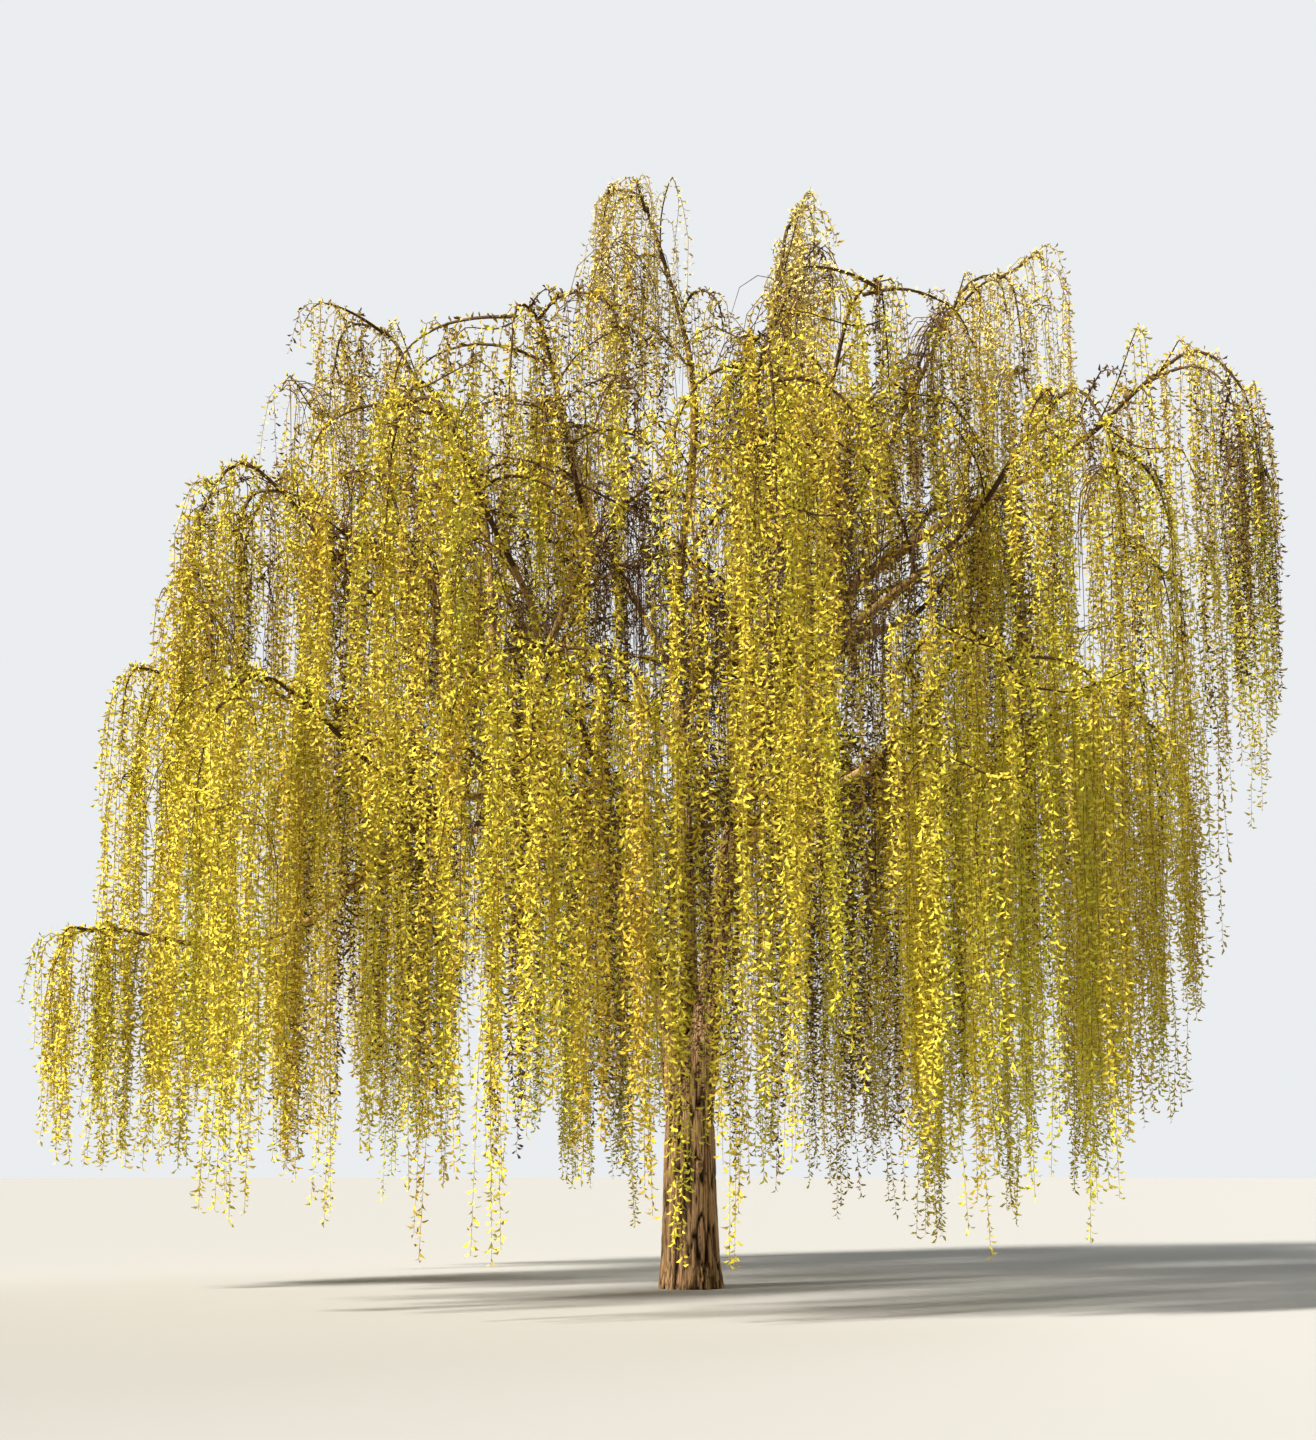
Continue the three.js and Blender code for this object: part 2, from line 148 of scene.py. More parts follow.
# Three tiers of masses. Reach, top and hem are (all round, more to the right, more to the back).
# Each mass has its name, stem, share of the stem's length, azimuth, and the sizes of its own.
TIERS = (
    dict(
        tier="crown", reach=(4.7, 0, 0.15), top=(12.5, 0.35, 0.7), hem=(8.0, 0, 0.4),
        tip_share=0.62, tip_below_top=2.1, arrive=55, drop=1.5, spread=1.9, twigs=4,
        masses=(
            (
                "crown_leader", "stem_middle", 1, 190,
                dict(reach=1.2, top=14.5, hem=10.2, tip_share=0, arrive=75, spread=1.3, twigs=5),
            ),
            (
                "crown_peak", "stem_right", 0.97, 10,
                dict(reach=1.6, top=14.2, hem=9.4, spread=1.3, twigs=5),
            ),
            ("crown_right", "stem_right", 0.9, 8, dict(top=13.6)),
            ("crown_right_back", "stem_middle", 0.93, 62, {}),
            ("crown_left_back", "stem_middle", 0.88, 118, {}),
            ("crown_left", "stem_left", 0.97, 172, dict(reach=5.0, top=12.9)),
            ("crown_left_front", "stem_left", 0.9, 240, dict(reach=4.3, top=11.5)),
            ("crown_right_front", "stem_right", 0.86, 300, dict(top=11.7)),
        ),
    ),
    dict(
        tier="shoulder", reach=(6.9, 0.15, 0.25), top=(10.5, 0.3, 0.45), hem=(4.3, 0.3, 0),
        tip_share=0.63, tip_below_top=1.65, arrive=28, drop=2.3, spread=1.5, twigs=3,
        masses=(
            ("shoulder_right", "stem_right", 1, 2, dict(reach=7.8, top=12.4, hem=6.2)),
            ("shoulder_right_back", "stem_right", 0.8, 42, {}),
            ("shoulder_back_right", "stem_middle", 0.8, 80, {}),
            ("shoulder_back_left", "stem_middle", 0.73, 120, {}),
            ("shoulder_left_back", "stem_left", 0.84, 160, dict(top=11.2)),
            ("shoulder_left_front", "stem_left", 1, 200, dict(reach=6.55)),
            ("shoulder_front_left", "stem_left", 0.8, 240, {}),
            ("shoulder_front_right", "stem_right", 0.7, 277, dict(hem=1.3)),
            ("shoulder_right_front", "stem_right", 0.76, 321, dict(reach=6.35, hem=2.5)),
        ),
    ),
    dict(
        tier="skirt", reach=(6.85, -0.35, 0), top=(7.25, 0.2, 0.3), hem=(0.95, 0, 0.3),
        tip_share=0.62, tip_below_top=1.05, arrive=16, drop=1.9, spread=1.4, twigs=3,
        masses=(
            ("skirt_right_back", "stem_right", 0.5, 22, {}),
            ("skirt_back_right", "stem_middle", 0.52, 61, {}),
            ("skirt_back", "stem_middle", 0.45, 100, {}),
            ("skirt_left_back", "stem_left", 0.5, 140, {}),
            ("skirt_left", "stem_left", 0.62, 180, dict(top=8.1)),
            ("skirt_left_front", "stem_left", 0.7, 220, {}),
            ("skirt_front", "stem_left", 0.92, 256, dict(top=6.8)),
            ("skirt_right_front", "stem_right", 0.42, 301, {}),
            ("skirt_right", "stem_right", 0.58, 342, dict(reach=6.0, hem=1.5)),
            (
                "low_left", "stem_left", 0.86, 186,
                dict(
                    reach=7.95, top=4.4, hem=1.5, tip_share=0.7, tip_below_top=0.2,
                    arrive=-8, drop=0.5, spread=0.9,
                ),
            ),
        ),
    ),
)

LENGTH_STEPS = 200
TANGENT_STEP = 0.0001

UP = np.array((0.0, 0.0, 1.0))


def lerp(low, high, share):
    return low + (high - low) * share


def unit(vector):
    return vector / np.linalg.norm(vector)


def polar(azimuth, radius, z=0.0):
    angle = math.radians(azimuth)
    return np.array((radius * math.cos(angle), radius * math.sin(angle), z))


def seeded(seed):
    """The same seed always draws the same numbers."""
    state = seed

    def draw(low, high):
        nonlocal state
        state = state * SEED_FACTOR % SEED_MODULUS
        return low + (high - low) * (state / SEED_MODULUS)

    draw(0, 1)
    draw(0, 1)
    return draw


class Arc:
    """A cubic curve, read by the share of its length."""

    def __init__(self, *corners):
        self.corners = np.array(corners, float)
        self.steps = np.linspace(0, 1, LENGTH_STEPS + 1)
        chords = np.linalg.norm(np.diff(self.point(self.steps), axis=0), axis=1)
        self.lengths = np.concatenate(([0], np.cumsum(chords)))
        self.length = self.lengths[-1]

    def point(self, t):
        t = np.asarray(t, float)[..., None]
        a, b, c, d = self.corners
        return (1 - t) ** 3 * a + 3 * (1 - t) ** 2 * t * b + 3 * (1 - t) * t * t * c + t**3 * d

    def at(self, share):
        return self.point(np.interp(np.asarray(share) * self.length, self.lengths, self.steps))

    def tangent(self, share):
        t = np.interp(share * self.length, self.lengths, self.steps)
        low, high = np.clip((t - TANGENT_STEP, t + TANGENT_STEP), 0, 1)
        return unit(self.point(high) - self.point(low))


class Limb:
    """A tapering limb along a curve, with straight facets between its joints"""

    def __init__(self, curve, radii, steps):
        self.curve, self.radii, self.steps = curve, radii, steps
        self.joints = curve.at(np.linspace(0, 1, steps + 1))

    def on_facet(self, share):
        step = min(math.floor(share * self.steps), self.steps - 1)
        return lerp(self.joints[step], self.joints[step + 1], share * self.steps - step)

    def rounded(self, shares):
        """Points on a smooth line through the joints"""
        first, last = 2 * self.joints[0] - self.joints[1], 2 * self.joints[-1] - self.joints[-2]
        knots = np.vstack((first, self.joints, last))
        places = np.asarray(shares) * self.steps
        step = np.minimum(places.astype(int), self.steps - 1)
        t = (places - step)[..., None]
        a, b, c, d = (knots[step + offset] for offset in range(4))
        bend = (2 * a - 5 * b + 4 * c - d) * t * t + (3 * b - a - 3 * c + d) * t**3
        return b + ((c - a) * t + bend) / 2

    def chain(self, segments):
        shares = np.linspace(0, 1, segments + 1)
        points, widths = self.curve.at(shares), lerp(*self.radii, shares)
        return Chain(points[:-1], points[1:], widths[:-1], widths[1:])


class Chain:
    """Straight tapering segments one after another, to measure distances from"""

    def __init__(self, a, b, ra, rb):
        self.a, self.b, self.ra, self.rb = a, b, ra, rb

    @classmethod
    def joined(cls, chains):
        ends = ("a", "b", "ra", "rb")
        return cls(*(np.concatenate([getattr(chain, end) for chain in chains]) for end in ends))


def free_distance(chain, others):
    """Least free distance between two sets of tapering segments"""
    a1, b1 = chain.a[:, None], chain.b[:, None]
    d1, d2, r = b1 - a1, others.b - others.a, a1 - others.a
    a, e = (d1 * d1).sum(-1), (d2 * d2).sum(-1)
    b, c, f = (d1 * d2).sum(-1), (d1 * r).sum(-1), (d2 * r).sum(-1)
    slant = a * e - b * b
    is_slanted = slant > PARALLEL * a * e
    crossing = (b * f - c * e) / np.where(is_slanted, slant, 1)
    guess = np.where(is_slanted, np.clip(crossing, 0, 1), 0.5)
    t = np.clip((b * guess + f) / e, 0, 1)
    s = np.clip((b * t - c) / a, 0, 1)
    apart = np.linalg.norm(a1 + d1 * s[..., None] - others.a - d2 * t[..., None], axis=-1)
    own = lerp(chain.ra[:, None], chain.rb[:, None], s)
    return (apart - own - lerp(others.ra, others.rb, t)).min()


class Placed:
    """All that has been placed so far, by owner. A spray may meet only its own mass's twigs."""

    def __init__(self):
        self.twigs, self.sprays = {}, []

    def add(self, owner, chain, is_spray=False):
        if is_spray:
            self.sprays.append(chain)
        else:
            self.twigs.setdefault(owner, []).append(chain)

    def is_free(self, owner, chain):
        others = [c for name, chains in self.twigs.items() if name != owner for c in chains]
        return free_distance(chain, Chain.joined(others + self.sprays)) > CLEARANCE


def sized(tier, mass):
    """A mass with all its sizes: its own, or else its tier's at its azimuth"""
    name, stem, at, azimuth, own = mass
    angle = math.radians(azimuth)
    sizes = {key: value for key, value in tier.items() if key != "masses"}
    for key in ("reach", "top", "hem"):
        all_round, right, back = tier[key]
        sizes[key] = all_round + right * math.cos(angle) + back * math.sin(angle)
    sizes.update(own, name=name, stem=stem, at=at, azimuth=azimuth)
    size = SimpleNamespace(**sizes)
    size.tip = polar(azimuth, size.tip_share * size.reach, size.top - size.tip_below_top)
    size.end = polar(azimuth, size.reach, size.top - size.drop)
    size.outward = polar(azimuth, 1)
    arrive = math.radians(size.arrive)
    size.arrival = polar(azimuth, math.cos(arrive), math.sin(arrive))
    return size


def stem_curve(root, tip, leave, meet, **_):
    start = np.array((*root, TRUNK_HEIGHT - STEM_ROOT_DEPTH))
    end = np.array(tip)
    return Arc(start, start + leave, end + meet, end)


def bough_curve(mass, stem):
    """A bough leaves its stem between the stem's own direction and the way to the mass."""
    is_last = mass.at == 1
    along = stem.tangent(mass.at)
    root = stem.at(mass.at) + along * (GAP if is_last else 0)
    way = mass.tip - root
    handle = BOUGH_HANDLE * np.linalg.norm(way)
    leave = along if is_last else unit(along * STEM_PULL + unit(way))
    return Arc(root, root + leave * handle, mass.tip - mass.arrival * handle, mass.tip)


def mass_stem_curve(mass):
    """A mass's stem goes on from its bough's tip, arches over its top, and turns down at its
    reach."""
    across = mass.reach * (1 - mass.tip_share)
    start = mass.tip + mass.arrival * GAP
    rise = start + mass.arrival * MASS_RISE * max(across, SHORTEST_RISE)
    shares = np.linspace(0, 1, MASS_STEM_STEPS + 1)

    def arch(crest):
        over = polar(mass.azimuth, mass.reach - CREST_INSET * across, crest)
        return Arc(start, rise, over, mass.end)

    low, high = mass.end[2], 2 * mass.top
    while high - low > CREST_ERROR:
        middle = (low + high) / 2
        if arch(middle).at(shares)[:, 2].max() < mass.top:
            low = middle
        else:
            high = middle
    return arch(low)


def twig_curve(mass, stem, index, draw):
    """Side twigs arch out of the mass's stem, left and right in turn. The first turns back."""
    side = -1 if index % 2 else 1
    at = FIRST_TWIG_AT + TWIGS_TAKE * (index + draw(*TWIG_AT)) / mass.twigs
    root = stem.on_facet(at)
    out_share = draw(*(TWIG_OUT if index else FIRST_TWIG_OUT))
    radius = lerp(mass.outward @ root, mass.reach, out_share)
    height = min(root[2], mass.top - TWIG_BELOW_TOP) - draw(*TWIG_DROP) * mass.drop
    sideways = side * draw(*TWIG_SIDEWAYS) * mass.spread
    end = polar(mass.azimuth, radius, height) + polar(mass.azimuth + 90, 1) * sideways
    way = end - root
    length = np.linalg.norm(way)
    crest = min(end[2] + TWIG_CREST * length, mass.top)
    lead = stem.curve.tangent(at) * TWIG_PULL + unit(way * (1, 1, 0))
    lead = unit(np.array((*lead[:2], max(LEAST_TWIG_RISE, lead[2]))))
    return Arc(root, root + lead * TWIG_HANDLE * length, np.array((*end[:2], crest)), end)


def spray_rings(root, azimuth, length, widths):
    """A spray's centre line: out of the twig, then straight down through its rings to its tip"""
    centres = [root]
    for index in range(len(widths)):
        share = (index + FIRST_RING) / (len(widths) + FIRST_RING)
        out = SPRAY_OFFSET + (index % 2) * SPRAY_DRIFT
        centres.append(root + polar(azimuth, out, -share * length))
    centres.append(np.array((*centres[-1][:2], root[2] - length)))
    return np.array(centres), np.array((0, *widths, 0))


def spray_chain(centres, widths):
    middles = (centres[:-1] + centres[1:]) / 2
    points = np.insert(centres, range(1, len(centres)), middles, axis=0)
    radii = np.insert(widths, range(1, len(widths)), (widths[:-1] + widths[1:]) / 2) / 2
    return Chain(points[:-1], points[1:], radii[:-1], radii[1:])


def plan_distance(point, start, end):
    """Distance in plan from a point to a line"""
    line, way = (end - start)[:2], (point - start)[:2]
    share = np.clip(way @ line / (line @ line), 0, 1)
    return np.linalg.norm(way - share * line)


def draw_spray(mass, twig, share, draw, placed):
    """A spray hangs from its twig to the hem, or is left out where it finds no room."""
    share += draw(*SPRAY_SHIFT)
    root = twig.on_facet(share)
    length = root[2] - mass.hem - draw(0, HEM_SPREAD)
    azimuth = draw(0, 360)
    rings = int(np.clip(math.ceil(length / SPRAY_RING_EVERY), 1, MOST_SPRAY_RINGS))
    widths = [SPRAY_WIDTH * draw(*SPRAY_WIDENING) for _ in range(rings)]
    if length <= SHORTEST_SPRAY or plan_distance(root, mass.tip, mass.end) >= mass.spread:
        return None
    centres, widths = spray_rings(root, azimuth, length, widths)
    chain = spray_chain(centres, widths)
    if not placed.is_free(mass.name, chain):
        return None
    placed.add(mass.name, chain, is_spray=True)
    return SimpleNamespace(
        share=share, length=length, centres=centres, widths=widths, azimuth=azimuth
    )


@functools.cache
def grown_tree():
    """The trunk's, stems' and boughs' centre lines, and each mass's limbs and sprays"""
    placed = Placed()
    limbs, masses = {}, [sized(tier, mass) for tier in TIERS for mass in tier["masses"]]
    trunk_corners = [UP * TRUNK_HEIGHT * share for share in (0, 1 / 3, 2 / 3, 1)]
    trunk_radii = (TRUNK_FOOT_RADIUS + FLARE, TRUNK_NECK_RADIUS + FORK_WIDENING)
    trunk = Limb(Arc(*trunk_corners), trunk_radii, TRUNK_STEPS)
    placed.add("trunk", trunk.chain(2 * TRUNK_STEPS))
    for name, stem in STEMS.items():
        limbs[name] = Limb(stem_curve(**stem), stem["radii"], STEM_STEPS)
        placed.add(name, limbs[name].chain(2 * STEM_STEPS))
    for mass in masses:
        stem = limbs[mass.stem]
        root_radius = lerp(*stem.radii, mass.at) * (1 if mass.at == 1 else BOUGH_ROOT_SHARE)
        bough = Limb(bough_curve(mass, stem.curve), (root_radius, BOUGH_TIP_RADIUS), BOUGH_STEPS)
        limbs[f"bough_{mass.name}"] = bough
        placed.add(f"bough_{mass.name}", bough.chain(2 * BOUGH_STEPS))
    for index, mass in enumerate(masses):
        mass.draw = seeded(SEED + SEED_STEP * index)
        mass.limbs = [Limb(mass_stem_curve(mass), (BOUGH_TIP_RADIUS, TIP_RADIUS), MASS_STEM_STEPS)]
        placed.add(mass.name, mass.limbs[0].chain(MASS_STEM_STEPS))
    for mass in masses:
        for index in range(mass.twigs):
            curve = twig_curve(mass, mass.limbs[0], index, mass.draw)
            twig = Limb(curve, (TWIG_RADIUS, TIP_RADIUS), TWIG_STEPS)
            if placed.is_free(mass.name, twig.chain(TWIG_STEPS)):
                placed.add(mass.name, twig.chain(TWIG_STEPS))
                mass.limbs.append(twig)
    for mass in masses:
        for index, limb in enumerate(mass.limbs):
            limb.sprays = []
            for share in TWIG_SPRAYS if index else STEM_SPRAYS:
                spray = None
                for _ in range(TRIES):
                    spray = spray or draw_spray(mass, limb, share, mass.draw, placed)
                limb.sprays += [spray] if spray else []
    return limbs, masses


# The finer growth goes on from the limbs with the masses' own draws. Every bough carries side
# twigs too, each spray of the rule becomes a bundle of strands, and shoots arch off the twigs.
WIDEST_TWIG = dict(crown=2.1, shoulder=2.7, skirt=2.5)
BOUGH_TWIG_RISE = (-0.1, 0.8)
TOP_TWIG_RISE = (0, 0.45)
BRANCH_GROWTH = 1.6
BRANCH_EVERY = 3
SIDE_TWIG_BUNDLES = (0.3, 0.55, 0.78, 0.98)
SIDE_TWIG_STEPS = 4
SIDE_TWIG = SimpleNamespace(
    spacing=0.8, radius=0.013, at=(0.5, 1.2), last=0.97, along=(0.1, 0.9), least_out=0.5,
    lift=0.3, crest=0.4, spare=0.3,
)

# Each kind of strand by its place, its reach, its angle above level and its length. Inner and
# side strands have shares for lengths.
MAIN = SimpleNamespace(
    number=(0.7, 1.3), at=(-0.08, 0.08), first=0.03, off=(0.02, 1.3), least_reach=0.06,
    lift=(-10, 45), length=(0.82, 1.16),
)
SIDE = SimpleNamespace(
    at=(0.04, 0.6), reach=(0.05, 0.16), lift=(-70, -35), length=(0.82, 1.06), same_tones=0.7,
)
INNER = SimpleNamespace(
    at=(-0.15, 0.12), shortest=(0.8, 2), length=(0.45, 1), reach=(0.08, 0.35), lift=(-20, 40),
)
SHOOT = SimpleNamespace(
    at=(0.2, 1), turn=(20, 100), reach=(0.15, 0.6), lift=(10, 75), length=(0.7, 2.1),
)
# Bare twigs turn inwards, and show between the strands inside the crown.
BARE = SimpleNamespace(
    at=(-0.2, 0.1), turn=(-95, 95), reach=(0.25, 0.9), lift=(-10, 70), length=(0.9, 2.6),
)
BARE_TWIGS = dict(crown=7, shoulder=5, skirt=4)
TOP_BARE_TWIGS = dict(crown=4, shoulder=4, skirt=1)
BARE_BELOW_TOP = 0.8

# How far along its bend each kind of line has its points, from root to hanging straight
TURN = (0, 0.6, 1.5, 4.0)
SIDE_TURN = (0, 1.8, 4.0)
BARE_TURN = (0, 0.35, 0.8, 1.5, 3.0)
FINE_STEPS = 200
STRAIGHT_STEP = 1.6
STRAIGHT_ROUNDING = 0.2
SWAY = 0.07
SWAY_SHARE = (0.3, 1)
SWAY_WAVE = (1.8, 3.6)

STRAND_RADIUS = 0.0045
STRAND_TIP_RADIUS = 0.002
SHOOT_RADIUS = 0.006
BARE_RADIUS = 0.008
LEAFED_RADIUS = 0.03

# The hem rises towards the tree's two sides, and is high and ragged at the far right.
LEAST_HEM = 0.55
HEM_RISE = 0.9
HEM_RISES = (3.6, 6.4)
RIGHT_HEM_RISE = 4.9
RIGHT_HEM_RISES = (5.8, 6.5)
RIGHT_RAG = 0.9
RAG_ACROSS, RAG_BACK = 37, 23
LEAST_ROOM = 0.1

# How near the tree's reach its side twigs may come, and how much of the rest is drawn back
EDGE = 0.3
ABOVE_TOP = 0.15
ARCH_ROOM = 0.25
SHORTENING = 0.65
SHORTENINGS = 4
DRAWN_BACK = 0.7

# How full each tier's sprays are, and the longer steps between the leaves of the open crown
FULLNESS = dict(crown=0.64, shoulder=1.0, skirt=1.1)
OPENNESS = dict(crown=1.32, shoulder=1.14, skirt=1.0)
EVEN_SPRAYS = 9

# The limbs behind show through these masses.
OPEN_MASSES = dict(
    crown_leader=0.45, crown_peak=0.62, crown_left_front=0.7, crown_right_front=0.6,
    shoulder_left_front=0.8, shoulder_front_left=0.72, shoulder_front_right=0.7,
    shoulder_right_front=0.8,
)

# Tones are dealt out by spray, with other shares above each of these heights. The dark olive tone
# is painted shade, in the gaps of the crown and mostly inside it.
TONE_LEVELS = (7.4, 10.6, 12.5)
TONE_BLUR = 0.9
BLUR_WAVE = 1e3
TONE_SHARES = (
    dict(lemon=0.58, lime=0.27, gold=0.15),
    dict(lemon=0.42, gold=0.27, lime=0.19, olive=0.12),
    dict(gold=0.36, primrose=0.24, lemon=0.14, olive=0.16, cream=0.1),
    dict(primrose=0.45, gold=0.15, cream=0.4),
)
# Leaves inside the crown are mostly dark olive: painted shade.
INNER_SHARES = 4 * (dict(olive=0.76, gold=0.14, lime=0.1),)
TIER_NAMES = ("crown", "shoulder", "skirt")


def heading(way):
    return math.degrees(math.atan2(way[1], way[0]))


def walked(pitch, step):
    """How far out and how far down a line gets that leans this far from straight down"""
    return (np.concatenate(([0], np.cumsum(part(pitch))[:-1] * step)) for part in (np.sin, np.cos))


def hanging_line(root, azimuth, reach, lift, length, draw, turn=TURN):
    """A strand sets off at an angle above level, turns down by its own weight at its reach, and
    hangs from there with a slight sway."""
    fine = np.linspace(0, turn[-1], FINE_STEPS)
    out, down = walked(math.radians(90 + lift) * np.exp(-fine), fine[1])
    scale = min(reach / out[-1], length / turn[-1])
    straight = length - scale * turn[-1]
    steps = math.ceil(straight / STRAIGHT_STEP - STRAIGHT_ROUNDING)
    further = np.arange(1, steps + 1) * straight / max(steps, 1)
    run = np.concatenate((np.array(turn) * scale, turn[-1] * scale + further))
    outs = np.concatenate((np.interp(turn, fine, out) * scale, np.full(steps, out[-1] * scale)))
    downs = np.concatenate((np.interp(turn, fine, down) * scale, down[-1] * scale + further))
    points = root + polar(azimuth, 1) * outs[:, None] - UP * downs[:, None]
    for axis in (0, 1):
        phase, wave = draw(0, 2 * math.pi), draw(*SWAY_WAVE)
        swing = np.sin(phase + run * 2 * math.pi / wave) - math.sin(phase)
        points[:, axis] += SWAY * draw(*SWAY_SHARE) * np.minimum(1, run) * swing
    return points, run


def deal_tones(draw, all_shares=TONE_SHARES):
    """One tone for each height band, by the band's shares"""
    dealt = []
    for shares in all_shares:
        left = draw(0, sum(shares.values()))
        for tone, share in shares.items():
            left -= share
            if left <= 0:
                break
        dealt.append(tone)
    return dealt


def room_below(point):
    """How far a strand may hang from a point"""
    hem = LEAST_HEM + HEM_RISE * smooth_step(*HEM_RISES, abs(point[0]))
    rag = RIGHT_RAG * math.sin(RAG_ACROSS * point[0] + RAG_BACK * point[1])
    right_rise = (RIGHT_HEM_RISE + rag) * smooth_step(*RIGHT_HEM_RISES, point[0])
    return max(LEAST_ROOM, point[2] - hem - right_rise)


def drawn_back(points):
    """The points, with most of what leaves the tree's reach drawn back"""
    points[:, :2] -= DRAWN_BACK * (points - np.clip(points, *np.array(CAD_BOX)))[:, :2]
    return points


class Growth:
    """The lines of one tier: its twigs, its strands, and the tones of the strands' leaves"""

    def __init__(self):
        self.twigs, self.strands, self.bare, self.leafed = [], [], [], []

    def twig(self, points, radii, tones):
        thickness = lerp(*radii, np.linspace(0, 1, len(points)))
        self.twigs.append((points, thickness))
        thin = thickness < LEAFED_RADIUS
        self.leafed.append((points[thin], thickness[thin], tones))

    def bare_twig(self, line):
        points, run = line
        thickness = lerp(BARE_RADIUS, STRAND_TIP_RADIUS, run / run[-1])
        self.bare.append((drawn_back(points), thickness))

    def strand(self, line, radius, tones):
        points, run = line
        thickness = lerp(radius, STRAND_TIP_RADIUS, run / run[-1])
        self.strands.append((drawn_back(points), thickness))
        self.leafed.append((points, thickness, tones))

    def family(self, mass, root, azimuth, reach, lift, length, radius, tones, children):
        """A strand and the side strands that leave it on their way down"""
        draw = mass.draw
        points, run = hanging_line(root, azimuth, reach, lift, length, draw)
        self.strand((points, run), radius, tones)
        for _ in range(children):
            share = draw(*SIDE.at)
            start = np.array([np.interp(share * run[-1], run, column) for column in points.T])
            rest = min(length * (1 - share) * draw(*SIDE.length), room_below(start))
            own = tones if draw(0, 1) < SIDE.same_tones else deal_tones(draw)
            line = hanging_line(
                start, draw(0, 360), draw(*SIDE.reach), draw(*SIDE.lift), rest, draw, SIDE_TURN
            )
            self.strand(line, lerp(radius, STRAND_TIP_RADIUS, share), own)


def fill_spray(growth, mass, limb, spray, settings):
    """The strands of one spray, each on its way to a place of its own in the spray's width"""
    draw, tones = mass.draw, deal_tones(mass.draw)
    out, across = polar(spray.azimuth, 1), polar(spray.azimuth + 90, 1)
    sprays = sum(len(each.sprays) for each in mass.limbs)
    full = FULLNESS[mass.tier] * OPEN_MASSES.get(mass.name, 1) * math.sqrt(EVEN_SPRAYS / sprays)
    for _ in range(round(settings.strands_per_spray * draw(*MAIN.number) * full)):
        root = limb.rounded(np.clip(spray.share + draw(*MAIN.at), MAIN.first, 1))
        angle, off = draw(0, 2 * math.pi), math.sqrt(draw(*MAIN.off)) * spray.widths[1] / 2
        place = spray.centres[1] + across * off * math.cos(angle) + out * off * math.sin(angle)
        way = place - root
        reach = max(MAIN.least_reach, math.hypot(way[0], way[1]))
        length = min(spray.length * draw(*MAIN.length), room_below(place) + root[2] - place[2])
        growth.family(
            mass, root, heading(way), reach, draw(*MAIN.lift), length, STRAND_RADIUS, tones,
            settings.side_strands,
        )


def add_shoots(growth, mass, limb, settings):
    """Shoots arch out of a limb, left and right in turn, and hang over."""
    draw = mass.draw
    count = int(limb.curve.length / settings.shoot_spacing)
    for index in range(count):
        share = (index + draw(*SHOOT.at)) / count
        side = 1 if index % 2 else -1
        azimuth = heading(limb.curve.tangent(share)) + side * draw(*SHOOT.turn)
        growth.family(
            mass, limb.rounded(share), azimuth, draw(*SHOOT.reach), draw(*SHOOT.lift),
            draw(*SHOOT.length), SHOOT_RADIUS, deal_tones(draw), 1,
        )


def within_reach(root, way, top):
    """A twig's way, shortened where it and its strands would leave the tree's reach"""
    low, high = np.array(CAD_BOX)
    high[2] = min(high[2], top + ABOVE_TOP + EDGE)
    for _ in range(SHORTENINGS):
        end = root + way + UP * ARCH_ROOM * np.linalg.norm(way)
        if (end[:2] > low[:2] + EDGE).all() and (end < high - EDGE).all():
            break
        way = SHORTENING * way
    return way


def add_side_twigs(growth, mass, limb, rise, shares, bare_twigs, settings):
    """Side twigs rise off a limb, left and right in turn, and arch over. Strands and bare twigs
    leave them at a few places."""
    draw, kind = mass.draw, SIDE_TWIG
    count = max(2, round(limb.curve.length / kind.spacing))
    for index in range(count):
        at = min(kind.last, (index + draw(*kind.at)) / (count + kind.spare))
        root, along = limb.rounded(at), limb.curve.tangent(at)
        side = unit(np.cross(along, UP)) * (-1 if index % 2 else 1)
        sideways = (kind.least_out, WIDEST_TWIG[mass.tier])
        way = along * draw(*kind.along) + side * draw(*sideways) + UP * draw(*rise)
        is_branch = limb is not mass.limbs[0] and index % BRANCH_EVERY == 1
        growing = BRANCH_GROWTH if is_branch else 1
        way = within_reach(root, way * growing, mass.top)
        length = np.linalg.norm(way)
        lead = unit(along + unit(way) + UP * kind.lift) * TWIG_HANDLE * length
        arch = Arc(root, root + lead, root + way + UP * kind.crest * length, root + way)
        twig = Limb(arch, (kind.radius * growing, TIP_RADIUS / 2), SIDE_TWIG_STEPS)
        points = twig.rounded(np.linspace(0, 1, 2 * SIDE_TWIG_STEPS + 1))
        growth.twig(points, twig.radii, deal_tones(draw, shares))
        for place in SIDE_TWIG_BUNDLES:
            tones = deal_tones(draw, shares)
            for _ in range(settings.inner_strands):
                start = twig.rounded(np.clip(place + draw(*INNER.at), 0, 1))
                shortest = draw(*INNER.shortest)
                hang = max(shortest, (start[2] - mass.hem) * draw(*INNER.length))
                growth.family(
                    mass, start, draw(0, 360), draw(*INNER.reach), draw(*INNER.lift), hang,
                    STRAND_RADIUS, tones, 1,
                )
            for _ in range(bare_twigs):
                start = twig.rounded(np.clip(place + draw(*BARE.at), 0, 1))
                azimuth = heading(-start) + draw(*BARE.turn)
                line = hanging_line(
                    start, azimuth, draw(*BARE.reach), draw(*BARE.lift), draw(*BARE.length),
                    draw, BARE_TURN,
                )
                if line[0][:, 2].max() < mass.top - BARE_BELOW_TOP:
                    growth.bare_twig(line)


